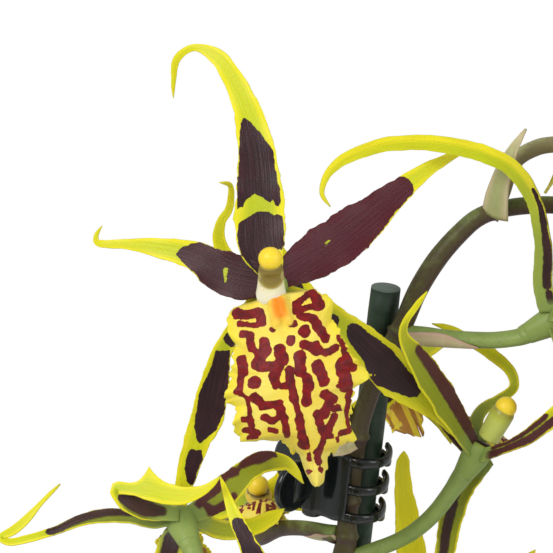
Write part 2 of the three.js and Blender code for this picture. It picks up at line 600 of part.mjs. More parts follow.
// The flower spike: the stem up beside the stake and over to the right, a bract at each joint, the
// pedicels, and the last buds.
const STEM_ROWS = [
  [-8.1, -51.6, -11.5], [-7.6, -45, -9.4], [-6.6, -36, -6.3], [-5.6, -29, -3.7], [-4.2, -24, -1.9],
  [-2, -18, 0.2], [1, -12, 1.6], [3.4, -7.5, 2.5], [6.2, -1, 4], [9, 3.8, 5], [11.5, 7.2, 5.5],
  [14.8, 10.8, 6], [18, 13.6, 6], [21.5, 15.2, 6], [25.5, 16, 6], [30, 16.4, 6], [33.4, 16.4, 6],
  [40, 16, 6], [48, 14.6, 5], [57, 12.4, 3], [66, 9.8, 1], [73, 7.4, 0],
];
const STEM_RADII = [STEM.foot, STEM.waist, STEM.waist, STEM.waist, STEM.waist, STEM.slim, STEM.slim,
  STEM.end];
const BUDS = [
  { joint: [50, 14.2, 4.6], tip: [59, 22, 8], radius: 3.6 },
  { joint: [60, 11.6, 2.4], tip: [68, 3, 6], radius: 3.1 },
  { joint: [72, 7.8, 0.2], tip: [81, 5, -1], radius: 2.5 },
];

function stemPoints() {
  const upper = STEM_ROWS.map((row) => place(...row)).reverse();
  const axis = STAKE.top.clone().sub(STAKE.foot).normalize();
  const top = upper[upper.length - 1];
  const lower = [40, 100, 170, 240, 300].map((drop) => top.clone().addScaledVector(axis, -drop));
  const foot = new THREE.Vector3(-12.5, 13.5, POT.floor + 70);
  return [foot, ...lower.reverse(), ...upper.reverse()];
}

function bract(base, tip, face, width) {
  const middle = base.clone().lerp(tip, 0.4);
  const marks = [[base, width * 0.8], [middle, width], [tip, 0.9]];
  const stations = marks.map(([at, w]) => ({ at, width: w, face }));
  return blade(stations, { thick: THICK.bract, cup: 0.22, steps: 3 });
}

function flowerSpike(plans) {
  const pieces = [tube(stemPoints(), STEM_RADII, STEM.sides, STEM.steps)];
  for (const plan of plans) {
    const ends = [3, GAP].map((short) => plan.back.clone().addScaledVector(plan.arrival, -short));
    const radii = [PEDICEL.stem, PEDICEL.stem, PEDICEL.neck, PEDICEL.mouth];
    pieces.push(tube([...plan.path, ...ends], radii, PEDICEL.sides, PEDICEL.steps));
    const [root, next] = plan.path;
    const out = next.clone().sub(root).normalize();
    const below = new THREE.Vector3(0, 0, -1.9);
    const tip = root.clone().addScaledVector(out, plan.number === 3 ? 15 : 9).add(below);
    const seat = root.clone().add(below.clone().multiplyScalar(0.4));
    if (plan.number !== 9) pieces.push(bract(seat, tip, UP, 4.6));
  }
  pieces.push(bract(place(20.6, 14.8, 9.2), place(28, 31.6, 9.6), direction(0.4, -0.2, -1), 4.8));
  for (const bud of BUDS) {
    const root = place(...bud.joint);
    const tip = place(...bud.tip);
    const points = [0, 0.35, 0.7, 1].map((t) => root.clone().lerp(tip, t));
    pieces.push(tube(points, [1.2, 1.3, bud.radius * 0.9, bud.radius, 0.7], 6, 7));
  }
  return joined(pieces);
}

// The claw clip, drawn in the plane square to the stake and extruded along it.
function clipFrame() {
  const axis = STAKE.top.clone().sub(STAKE.foot).normalize();
  const right = RIGHT.clone().addScaledVector(axis, -RIGHT.dot(axis)).normalize();
  const front = new THREE.Vector3().crossVectors(right, axis);
  const down = axis.clone().negate();
  const along = -CLIP.rise / UP.dot(axis);
  const origin = STAKE.top.clone().addScaledVector(axis, -along);
  return new THREE.Matrix4().makeBasis(right, front, down).setPosition(origin);
}

function extruded(shape, low, high) {
  const geometry = new THREE.ExtrudeGeometry(shape, { depth: high - low, bevelEnabled: false,
    curveSegments: 6 });
  return solid(geometry.translate(0, 0, low));
}

function ring(centre, outer, inner, low, high) {
  const shape = new THREE.Shape().absarc(centre[0], centre[1], outer, 0, 2 * Math.PI);
  if (inner > 0) shape.holes.push(new THREE.Path().absarc(centre[0], centre[1], inner, 0, 2 * Math.PI));
  return extruded(shape, low, high);
}

// One claw: from the hinge side round one face of the stem and stake to a blunt tip past the far side.
function clawShape(side) {
  const points = [];
  const turn = (degrees, grow) => {
    const angle = THREE.MathUtils.degToRad(degrees);
    const [b, c] = CLAW.centre;
    const thin = grow * (degrees < 20 ? 0.75 : 1);
    return new THREE.Vector2(b + Math.cos(angle) * (CLAW.across + thin),
      c + side * Math.sin(angle) * (CLAW.deep + thin));
  };
  for (let degrees = 165; degrees >= -24; degrees -= 21) points.push(turn(degrees, CLAW.thick));
  for (let degrees = -24; degrees <= 165; degrees += 21) points.push(turn(degrees, 0));
  return new THREE.Shape(points);
}

// The plate of a jaw between its knuckles and its claws.
function cheekShape(side) {
  const [b, c] = CLIP.hinge;
  const corners = [[b - 3.1, side * 1.3], [b - 2.6, side * 2.3], [b - 1, side * 3.4], [b + 2.4, side * 4.2],
    [-4.8, side * 6.6], [-3.4, side * 7.4], [-3.4, side * 5.8],
    [-5.2, side * 4.2], [-7, side * 2.4], [b + 1.6, side * 1]];
  return new THREE.Shape(corners.map(([x, y]) => new THREE.Vector2(x, c + y)));
}

function jaw(side, shift, knuckles) {
  const [b, c] = CLIP.hinge;
  const pieces = knuckles.map(([low, high]) => ring(CLIP.hinge, CLIP.knuckle, 0, low, high));
  const reach = CLAW.pitch + CLAW.wide / 2 + 0.5;
  pieces.push(extruded(cheekShape(side), shift - reach, shift + reach));
  for (const step of [-1, 0, 1]) {
    const middle = shift + step * CLAW.pitch;
    pieces.push(extruded(clawShape(side), middle - CLAW.wide / 2, middle + CLAW.wide / 2));
  }
  const turn = THREE.MathUtils.degToRad(PADDLE.turn);
  const across = new THREE.Vector2(-Math.cos(turn), side * Math.sin(turn));
  const centre = new THREE.Vector2(b, c).addScaledVector(across, PADDLE.out);
  const disc = new THREE.CylinderGeometry(PADDLE.radius, PADDLE.radius, PADDLE.thick, 16);
  disc.rotateZ(-side * turn).translate(centre.x, centre.y + side * 1.6, -0.7);
  pieces.push(solid(disc));
  const neck = [[0, side * 0.6], [0, side * 2], [PADDLE.out, side * 2.3],
    [PADDLE.out, side * 1.1]].map(([far, off]) =>
    new THREE.Vector2(b, c + off).addScaledVector(across, far));
  pieces.push(extruded(new THREE.Shape(neck), -3.8, 2.6));
  return joined(pieces).subtract(ring(CLIP.hinge, CLIP.bore, 0, -CLIP.length, CLIP.length));
}

function clipPieces() {
  const half = CLIP.length / 2;
  const frontSpans = [[-5.4, -2.9], [2.9, 5.4]];
  const backSpans = [[-half, -5.7], [5.7, half]];
  const clear = CLIP.knuckle + GAP;
  const cutFor = (spans) => joined(spans.map(([low, high]) => ring(CLIP.hinge, clear, 0, low - GAP,
    high + GAP)));
  const coilRoom = ring(CLIP.hinge, clear, 0, -2.9, 2.9);
  const front = jaw(1, -CLAW.stagger / 2, frontSpans).subtract(cutFor(backSpans)).subtract(coilRoom);
  const back = jaw(-1, CLAW.stagger / 2, backSpans).subtract(cutFor(frontSpans)).subtract(coilRoom);
  const pin = ring(CLIP.hinge, CLIP.pin, 0, -half - 0.6, half + 0.6);
  const coil = ring(CLIP.hinge, CLIP.knuckle - 0.3, CLIP.bore, -2.6, 2.6);
  return { clip_jaw_back: back, clip_jaw_front: front, clip_pin: pin, clip_spring: coil };
}

// The pot: a plain tapered nursery pot with a rolled rim and drainage holes.
function potBody() {
  const { height, top, foot, wall, floor, rim, lip, hole, holeRing } = POT;
  const inner = (z) => foot - wall + ((top - foot) * z) / height;
  const outline = [[0, 0], [foot - 1.5, 0], [foot, 1.5], [foot + ((top - foot) * (height - rim)) / height,
    height - rim],
    [top + lip, height - rim], [top + lip + 0.6, height - 0.8], [top + lip - 0.6, height],
    [inner(height) + 0.2, height],
    [inner(height - 2), height - 2], [inner(floor), floor], [0, floor]];
  const turned = new THREE.LatheGeometry(outline.map(([r, z]) => new THREE.Vector2(r, z)), 30);
  const body = solid(turned.rotateX(Math.PI / 2));
  const cuts = [];
  for (let k = 0; k < 6; k += 1) {
    const angle = (k * Math.PI) / 3;
    cuts.push(ring([holeRing * Math.cos(angle), holeRing * Math.sin(angle)], hole, 0, -1, floor + 1));
  }
  return body.subtract(joined(cuts));
}

// The four pseudobulbs and the leaves that grow from their tops and sheathe their edges.
const BULBS = [
  { at: [2, -5], yaw: 0, size: 1, leaves: [[-3, 295, 84], [183, 270, 92]],
    sheaths: [[4, 215, 82], [177, 200, 96]] },
  { at: [-4, -28], yaw: 4, size: 0.95, leaves: [[-16, 280, 92], [198, 255, 100]],
    sheaths: [[-38, 205, 92], [218, 170, 108]] },
  { at: [6, 37], yaw: -4, size: 0.88, leaves: [[12, 260, 86], [162, 265, 96]], sheaths: [] },
  { at: [36, 14], yaw: 80, size: 0.78, leaves: [[52, 225, 104]], sheaths: [] },
];

function bulbBody(bulb, grow = 0) {
  const rings = [];
  const { broad, thick, high, sunk } = BULB;
  const middle = BARK.level - sunk + high * bulb.size;
  for (let i = 0; i <= 7; i += 1) {
    const angle = Math.PI * (-0.46 + (0.94 * i) / 7);
    const spread = Math.cos(angle) * bulb.size;
    const z = middle + Math.sin(angle) * (high * bulb.size + grow);
    rings.push(circle(10).map(([u, v]) => {
      const point = new THREE.Vector3((broad * spread + grow) * u, (thick * spread + grow) * v, z);
      point.applyAxisAngle(new THREE.Vector3(0, 0, 1), THREE.MathUtils.degToRad(bulb.yaw));
      return point.add(new THREE.Vector3(bulb.at[0], bulb.at[1], 0));
    }));
  }
  return loft(rings);
}

function bulbTop(bulb) {
  return BARK.level - BULB.sunk + BULB.high * bulb.size * (1 + Math.sin(Math.PI * 0.48));
}

// A strap leaf that leaves its base steeply and bends over steadily to its tip. Azimuth is the way it
// leans, bend the angle from upright at the tip.
function leafStations(root, azimuth, length, lean, bend, widest) {
  const way = new THREE.Vector3(Math.cos(azimuth), Math.sin(azimuth), 0);
  const count = 10;
  const at = root.clone();
  const stations = [];
  for (let i = 0; i <= count; i += 1) {
    const t = i / count;
    const angle = THREE.MathUtils.degToRad(lean + (bend - lean) * t ** 1.5);
    const tangent = way.clone().multiplyScalar(Math.sin(angle)).add(new THREE.Vector3(0, 0, Math.cos(angle)));
    const face = way.clone().multiplyScalar(-Math.cos(angle)).add(new THREE.Vector3(0, 0, Math.sin(angle)));
    const width = widest * Math.min(0.26 + 1.9 * t, 1) * Math.min(1, 2.6 * (1.02 - t)) ** 0.8;
    stations.push({ at: at.clone(), width, face });
    at.addScaledVector(tangent, length / count);
  }
  return stations;
}

function leafBodies() {
  const leaves = [];
  for (const bulb of BULBS) {
    const middle = new THREE.Vector3(bulb.at[0], bulb.at[1], 0);
    const yaw = THREE.MathUtils.degToRad(bulb.yaw);
    bulb.leaves.forEach(([azimuth, length, bend]) => {
      const angle = THREE.MathUtils.degToRad(azimuth);
      const side = Math.cos(angle - yaw) > 0 ? 3.4 : -3.4;
      const root = middle.clone().add(new THREE.Vector3(side * Math.cos(yaw), side * Math.sin(yaw),
        bulbTop(bulb) - 1.3));
      leaves.push({ stations: leafStations(root, angle, length, 9, bend, 30), steps: 9 });
    });
    bulb.sheaths.forEach(([azimuth, length, bend]) => {
      const angle = THREE.MathUtils.degToRad(azimuth);
      const reach = BULB.broad * bulb.size + 1.6;
      const root = middle.clone().add(new THREE.Vector3(reach * Math.cos(angle), reach * Math.sin(angle),
        BARK.level - 7));
      leaves.push({ stations: leafStations(root, angle, length, 4, bend, 25), steps: 8 });
    });
  }
  const bulbs = BULBS.map((bulb) => bulbBody(bulb, GAP));
  return leaves.map(({ stations, steps }) => {
    const make = (grow) => blade(stations, { thick: THICK.leaf, cup: 0.2, steps, grow });
    const trimmed = bulbs.reduce((leaf, bulb) => leaf.subtract(bulb), make(0));
    return { body: trimmed, room: make(2 * GAP) };
  });
}

// The bark: chunky relief on top, with a plain hole for everything that stands in it.
function barkBody(standing) {
  const random = randomFrom(5);
  const inner = (z) => POT.foot - POT.wall + ((POT.top - POT.foot) * z) / POT.height - GAP;
  const low = POT.floor + GAP;
  const rings = [];
  const ringAt = (radius, height) => circle(BARK.spokes).map(([u, v]) =>
    new THREE.Vector3(radius * u, radius * v, height()));
  rings.push(ringAt(0.8, () => low), ringAt(inner(low), () => low),
    ringAt(inner(BARK.level - 3), () => BARK.level - 3));
  for (let i = BARK.rings; i > 0; i -= 1) {
    rings.push(ringAt((inner(BARK.level - 3) * i) / (BARK.rings + 0.6),
      () => BARK.level + BARK.relief * random()));
  }
  const body = loft(rings);
  return standing.reduce((whole, piece) => whole.subtract(piece), body);
}

// Materials and the scene graph.
function finish(color, roughness, metalness = 0) {
  return new THREE.MeshStandardMaterial({ color, roughness, metalness });
}

const FINISH = {
  pot: finish("#8a5a44", 0.6),
  bark: finish("#6b4a33", 0.95),
  bulb: finish("#7d9447", 0.5),
  leaf: finish("#3f6b2c", 0.45),
  spike: finish("#66712f", 0.55),
  stake: finish("#1f3325", 0.5),
  clip: finish("#15191a", 0.25),
  steel: finish("#9a9c9e", 0.3, 1),
  tepal: finish("#8f8a24", 0.5),
  lip: finish("#e8c94e", 0.5),
  column: finish("#f0cf3a", 0.45),
};

const orchid = new THREE.Group();

function add(name, body, material, parent = orchid) {
  const mesh = new THREE.Mesh(geometryOf(body), FINISH[material].clone());
  mesh.name = name;
  parent.add(mesh);
}

const plans = BLOOMS.map((spec, i) => bloomPlan(spec, i + 1));
const spike = flowerSpike(plans);
const stake = tube([STAKE.foot, STAKE.foot.clone().lerp(STAKE.top, 0.5), STAKE.top],
  [STAKE.radius, STAKE.radius], 14, 2);
const leaves = leafBodies();
const stemRoom = tube(stemPoints(), STEM_RADII.map((radius) => radius + GAP), STEM.sides, STEM.steps);
const stakeRoom = tube([STAKE.foot.clone().lerp(STAKE.top, -0.002), STAKE.foot.clone().lerp(STAKE.top, 0.5),
  STAKE.top],
  [STAKE.radius + GAP, STAKE.radius + GAP], 14, 2);
const rooms = [stemRoom, stakeRoom, ...BULBS.map((bulb) => bulbBody(bulb, GAP)),
  ...leaves.map((leaf) => leaf.room)];

add("pot", potBody(), "pot");
add("bark_substrate", barkBody(rooms), "bark");
BULBS.forEach((bulb, i) => add(`pseudobulb_${i + 1}`, bulbBody(bulb), "bulb"));
leaves.forEach((leaf, i) => add(`leaf_${i + 1}`, leaf.body, "leaf"));
add("flower_spike", spike, "spike");
add("stake", stake, "stake");

const clip = new THREE.Group();
clip.applyMatrix4(clipFrame());
orchid.add(clip);
for (const [name, body] of Object.entries(clipPieces())) {
  add(name, body, name === "clip_pin" || name === "clip_spring" ? "steel" : "clip", clip);
}

for (const plan of plans) {
  add(`bloom_${plan.number}_sepals_petals`, tepalsOf(plan), "tepal");
  add(`bloom_${plan.number}_lip`, lipOf(plan), "lip");
  add(`bloom_${plan.number}_column`, columnOf(plan), "column");
}

export default orchid;
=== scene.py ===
"""A potted cambria orchid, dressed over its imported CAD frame.

One arching spike of long-tailed yellow blooms blotched maroon, clipped to a green stake, in a pot of bark
with four pseudobulbs and their strap leaves. Lengths are millimetres until a mesh is made.
"""
import math
from functools import partial

import bpy
import numpy as np
from mathutils import Matrix, Vector


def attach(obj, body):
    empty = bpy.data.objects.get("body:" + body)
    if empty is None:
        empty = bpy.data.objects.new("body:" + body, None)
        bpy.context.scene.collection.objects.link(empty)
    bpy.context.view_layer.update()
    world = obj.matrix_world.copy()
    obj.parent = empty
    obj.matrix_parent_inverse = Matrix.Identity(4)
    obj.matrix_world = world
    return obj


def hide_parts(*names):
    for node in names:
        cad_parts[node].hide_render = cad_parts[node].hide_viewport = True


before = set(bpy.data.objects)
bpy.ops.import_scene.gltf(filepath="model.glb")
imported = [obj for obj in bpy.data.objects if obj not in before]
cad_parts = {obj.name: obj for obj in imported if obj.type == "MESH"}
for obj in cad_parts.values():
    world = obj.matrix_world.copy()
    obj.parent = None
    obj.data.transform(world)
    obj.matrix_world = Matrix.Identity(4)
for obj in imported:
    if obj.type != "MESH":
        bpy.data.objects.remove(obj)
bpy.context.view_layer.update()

MM = 0.001
PLANT = "plant"
FRONT_JAW = "clip_front_jaw"

# The view plane that the flowers were laid out in: through the top of the stake, seen from the front and
# 14 degrees above. x runs right, z up and out towards the viewer, who stands 600 mm away.
TILT = math.radians(14)
STAKE_TOP = np.array([28.0, -8.0, 500.0])
STAKE_FOOT = np.array([-17.2, 24.7, 48.0])
VIEW = {"distance": 600.0, "x": -21.9, "z": 2.1}
RIGHT = np.array([1.0, 0.0, 0.0])
UP = np.array([0.0, math.sin(TILT), math.cos(TILT)])
OUT = np.array([0.0, -math.cos(TILT), math.sin(TILT)])
WORLD_UP = np.array([0.0, 0.0, 1.0])


def direction(x, z, out):
    return np.multiply.outer(x, RIGHT) + np.multiply.outer(z, UP) + np.multiply.outer(out, OUT)


def place(x, z, out):
    """The point that shows at x, z in the view plane and lies out millimetres in front of it."""
    x, z, out = (np.asarray(v, float) for v in (x, z, out))
    shrink = (VIEW["distance"] - out) / VIEW["distance"]
    seen_x, seen_z = VIEW["x"] + (x - VIEW["x"]) * shrink, VIEW["z"] + (z - VIEW["z"]) * shrink
    return STAKE_TOP + direction(seen_x, seen_z, out)


def seen_at(points):
    """Where points show in the view plane: the other way round from place."""
    d = points - STAKE_TOP
    grow = VIEW["distance"] / (VIEW["distance"] - d @ OUT)
    x = VIEW["x"] + (d @ RIGHT - VIEW["x"]) * grow
    z = VIEW["z"] + (d @ UP - VIEW["z"]) * grow
    return np.stack([x, z], -1)


def unit(v):
    length = np.linalg.norm(v, axis=-1, keepdims=True)
    return v / np.maximum(length, 1e-9)


def turned(v, axis, degrees):
    a = math.radians(degrees)
    return v * math.cos(a) + np.cross(axis, v) * math.sin(a) + axis * (axis @ v) * (1 - math.cos(a))


# Curves and meshes.
def turns(count):
    """Angles once round a ring, in equal steps."""
    return 2 * np.pi * np.arange(count) / count


def loop_at(centre, turn, radius, side, other):
    """A ring about a centre, with its radius at each turn from side towards other."""
    return centre + np.outer(np.cos(turn) * radius, side) + np.outer(np.sin(turn) * radius, other)


def level_loop(radius, z, turn):
    """A level ring about the middle of the pot."""
    return np.stack([radius * np.cos(turn), radius * np.sin(turn), np.full(len(turn), float(z))], -1)


def off_line(line, side, across, up, lift):
    """A grid of points beside a line, across along side and lift along up, one row for each of them."""
    return line[:, None] + side[:, None] * across[..., None] + up[:, None] * lift[..., None]


def smooth_line(points, ts):
    """Points at fractions ts along a smooth curve through points, the spans sharing ts evenly."""
    p = np.asarray(points, float).reshape(len(points), -1)
    p = np.vstack([2 * p[0] - p[1], p, 2 * p[-1] - p[-2]])
    spans = len(p) - 3
    spot = np.clip(np.asarray(ts, float), 0, 1) * spans
    low = np.minimum(spot.astype(int), spans - 1)
    f = (spot - low)[:, None]
    a, b, c, d = p[low], p[low + 1], p[low + 2], p[low + 3]
    first, middle, last = (np.maximum(np.linalg.norm(v - u, axis=1, keepdims=True), 1e-6) ** 0.5
                           for u, v in ((a, b), (b, c), (c, d)))
    t1 = ((b - a) / first - (c - a) / (first + middle) + (c - b) / middle) * middle
    t2 = ((c - b) / middle - (d - b) / (middle + last) + (d - c) / last) * middle
    return b + t1 * f + (3 * (c - b) - 2 * t1 - t2) * f**2 + (2 * (b - c) + t1 + t2) * f**3


def level(values, ts):
    """A list of numbers read off at fractions ts of its length, in straight spans."""
    return np.interp(ts, np.linspace(0, 1, len(values)), values)


def slope_of(points):
    return unit(np.gradient(points, axis=0))


def arc_of(points):
    steps = np.linalg.norm(np.diff(points, axis=0), axis=1)
    return np.concatenate([[0], np.cumsum(steps)])


def new_object(name, data):
    made = bpy.data.objects.new(name, data)
    bpy.context.scene.collection.objects.link(made)
    return made


class Skin:
    """Patches of one piece: points in millimetres, faces, and the same named values at every point."""

    def __init__(self, *names):
        self.names = names
        self.points, self.faces, self.values, self.count = [], [], {n: [] for n in names}, 0

    def add(self, points, faces, **values):
        points = np.asarray(points, float).reshape(-1, 3)
        self.faces += [tuple(int(i) + self.count for i in face) for face in faces]
        self.points.append(points)
        for name in self.names:
            value = np.asarray(values.get(name, 0.0), float)
            value = value.reshape(-1) if value.ndim else value
            self.values[name].append(np.broadcast_to(value, (len(points),)))
        self.count += len(points)

    def piece(self, name, material, slot, replaces=(), body=PLANT):
        mesh = bpy.data.meshes.new(name)
        mesh.from_pydata((np.vstack(self.points) * MM).tolist(), [], self.faces)
        for key in self.names:
            made = mesh.attributes.new(key, "FLOAT", "POINT")
            made.data.foreach_set("value", np.concatenate(self.values[key]).astype(np.float32))
        mesh.polygons.foreach_set("use_smooth", [True] * len(mesh.polygons))
        mesh.materials.append(material)
        mesh.update()
        return dressed(new_object(name, mesh), replaces, body)


def dressed(piece, replaces=(), body=PLANT):
    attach(piece, body)
    if replaces:
        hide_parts(*replaces)
    return piece


def grid_faces(rows, columns, start=0, closed=False, flip=False):
    faces = []
    for i in range(rows - 1):
        row = start + i * columns
        for j in range(columns if closed else columns - 1):
            k = (j + 1) % columns
            face = (row + j, row + k, row + columns + k, row + columns + j)
            faces.append(face[::-1] if flip else face)
    return faces


def add_sheet(skin, middle, face, thick, **values):
    """A closed thin sheet about a grid of middle points. face is roughly the way its upper side looks."""
    rows, columns = middle.shape[:2]
    normal = unit(np.cross(np.gradient(middle, axis=0), np.gradient(middle, axis=1)))
    normal *= np.sign(np.sum(normal * face, -1, keepdims=True) + 1e-9)
    half = np.broadcast_to(np.asarray(thick, float), (rows, columns))[..., None] / 2
    size = rows * columns
    turned_up = np.cross(np.gradient(middle, axis=1), np.gradient(middle, axis=0))
    facing = np.mean(np.sum(turned_up * normal, -1)) > 0
    faces = grid_faces(rows, columns, flip=not facing) + grid_faces(rows, columns, size, flip=facing)
    last = (rows - 1) * columns
    edge = list(range(columns)) + [i * columns + columns - 1 for i in range(1, rows)]
    edge += [last + j for j in range(columns - 2, -1, -1)] + [i * columns for i in range(rows - 2, 0, -1)]
    for a, b in zip(edge, edge[1:] + edge[:1]):
        faces.append((a, a + size, b + size, b) if facing else (b, b + size, a + size, a))
    both = {k: np.concatenate([np.broadcast_to(v, (rows, columns)).reshape(-1)] * 2)
            for k, v in values.items()}
    both["back"] = np.concatenate([np.zeros(size), np.ones(size)])
    sides = [(middle + normal * half).reshape(-1, 3), (middle - normal * half).reshape(-1, 3)]
    skin.add(np.concatenate(sides), faces, **both)


def add_rings(skin, rings, **values):
    """A closed skin over rings of points, ends closed flat. Values are one number, or one for each ring."""
    rows, columns = rings.shape[:2]
    faces = grid_faces(rows, columns, closed=True)
    faces += [tuple(range(columns))[::-1], tuple((rows - 1) * columns + j for j in range(columns))]
    for key, value in values.items():
        if np.ndim(value) == 1 and len(value) == rows:
            values[key] = np.repeat(value, columns)
    skin.add(rings.reshape(-1, 3), faces, **values)


def tube_rings(line, radii, sides, hint=WORLD_UP, bumps=1.0):
    """Rings of a round tube along a line of points. Bumps may scale the radius at every row and turn."""
    way = slope_of(line)
    side = hint - way[0] * (hint @ way[0])
    if np.linalg.norm(side) < 0.1:
        side = RIGHT - way[0] * (RIGHT @ way[0])
    turn = turns(sides)
    radii = np.broadcast_to(np.asarray(radii, float)[:, None] * bumps, (len(line), sides))
    rings = []
    for centre, tangent, radius in zip(line, way, radii):
        side = unit(side - tangent * (side @ tangent))
        rings.append(loop_at(centre, turn, radius, side, np.cross(tangent, side)))
    return np.array(rings)


def add_round(skin, centre, axes, sizes, sides=20, rows=12, **values):
    """A round lump with its own axes and half sizes."""
    theta = np.linspace(0.02, math.pi - 0.02, rows)
    turn = turns(sides)
    local = [np.outer(np.sin(theta), np.cos(turn)), np.outer(np.sin(theta), np.sin(turn)),
             np.outer(np.cos(theta), np.ones(sides))]
    rings = centre + (np.stack(local, -1) * np.array(sizes)) @ np.array(axes)
    add_rings(skin, rings[::-1], **values)


def wander(seed, points, scale):
    """Smooth seeded noise between about -1 and 1 at points, its features about scale millimetres wide."""
    random = np.random.default_rng(seed)
    total = np.zeros(points.shape[:-1])
    for k in range(6):
        way = unit(random.normal(size=points.shape[-1]))
        total += np.sin(points @ way * (2 * np.pi / (scale * (0.7 + 0.25 * k))) + random.uniform(0, 6.3))
    return total / 3


# Patches of colour, laid out as shapes in a plane and kept at each point as a distance to their edge.
def stroke_depth(spots, strokes):
    """How deep each spot lies inside a set of round-ended strokes x1, z1, r1, x2, z2, r2."""
    depth = np.full(spots.shape[:-1], -9.0)
    for x1, z1, r1, x2, z2, r2 in strokes:
        a, run = np.array([x1, z1]), np.array([x2 - x1, z2 - z1])
        f = np.clip(((spots - a) @ run) / max(run @ run, 1e-9), 0, 1)
        gap = np.linalg.norm(spots - a - f[..., None] * run, axis=-1)
        depth = np.maximum(depth, r1 + (r2 - r1) * f - gap)
    return depth


def spot_depth(spots, strokes):
    """Like stroke_depth, but strokes that meet run into one another, and their edges wander a little."""
    wavering = spots + 0.2 * np.stack([wander(11, spots, 2.4), wander(12, spots, 2.4)], -1)
    filled = sum(np.exp(np.clip(stroke_depth(wavering, [stroke]), -6, 4) / 0.06) for stroke in strokes)
    return 0.06 * np.log(filled + 1e-30)


def patch_depth(spots, corners):
    """How deep each spot lies inside a closed outline; below zero outside it."""
    corners = np.asarray(corners, float)
    inside = np.zeros(spots.shape[:-1], bool)
    gap = np.full(spots.shape[:-1], 1e9)
    for a, b in zip(corners, np.roll(corners, -1, axis=0)):
        run = b - a
        f = np.clip(((spots - a) @ run) / max(run @ run, 1e-9), 0, 1)
        gap = np.minimum(gap, np.linalg.norm(spots - a - f[..., None] * run, axis=-1))
        if a[1] != b[1]:
            crossing = (spots[..., 1] > a[1]) != (spots[..., 1] > b[1])
            at = a[0] + (spots[..., 1] - a[1]) / (b[1] - a[1]) * run[0]
            inside ^= crossing & (spots[..., 0] < at)
    return np.where(inside, gap, -gap)


# Materials.
COLOURS = {"data_type": "RGBA"}
SMOOTH = {"interpolation_type": "SMOOTHSTEP"}
TIMES_PLUS = {"operation": "MULTIPLY_ADD"}
TIMES = {"operation": "MULTIPLY"}
SIZE_OF = {"operation": "ABSOLUTE"}


def linear(text):
    """A sRGB hex colour as the linear numbers that a shader takes."""
    parts = [int(text[k:k + 2], 16) / 255 for k in (1, 3, 5)]
    return (*[c / 12.92 if c <= 0.04045 else ((c + 0.055) / 1.055) ** 2.4 for c in parts], 1.0)


def per_mm(size):
    """The scale of a texture over metres whose features are size millimetres wide."""
    return 1000.0 / size


def add_node(tree, kind, sockets=None, settings=None, out=0):
    """Adds a shader node and gives its output. Sockets are its inputs by name or number: another node's
    output is linked, hex text is a colour, and anything else is the value. Settings are its own fields."""
    node = tree.nodes.new("ShaderNode" + kind)
    for key, value in (settings or {}).items():
        setattr(node, key, value)
    for key, value in (sockets or {}).items():
        if isinstance(value, bpy.types.NodeSocket):
            tree.links.new(value, node.inputs[key])
        else:
            node.inputs[key].default_value = linear(value) if isinstance(value, str) else value
    return node.outputs[out] if len(node.outputs) else node


def new_material(name, looks_of, *marks):
    """A material whose shader takes what looks_of works out. It is given the function that adds a node, the
    object's own space, and an output for each mark, which is a value that the piece's points carry."""
    material = bpy.data.materials.new(name)
    material.use_nodes = True
    material.node_tree.nodes.clear()
    add = partial(add_node, material.node_tree)
    values = [add("Attribute", settings={"attribute_name": mark}, out="Fac") for mark in marks]
    shader = add("BsdfPrincipled", looks_of(add, add("TexCoord", out="Object"), *values))
    add("OutputMaterial", {"Surface": shader})
    return material


def set_stops(output, *pairs):
    """Sets the colours of a ramp, as place and hex."""
    elements = output.node.color_ramp.elements
    while len(elements) < len(pairs):
        elements.new(1.0)
    for element, (spot, text) in zip(elements, pairs):
        element.position = spot
        element.color = linear(text)


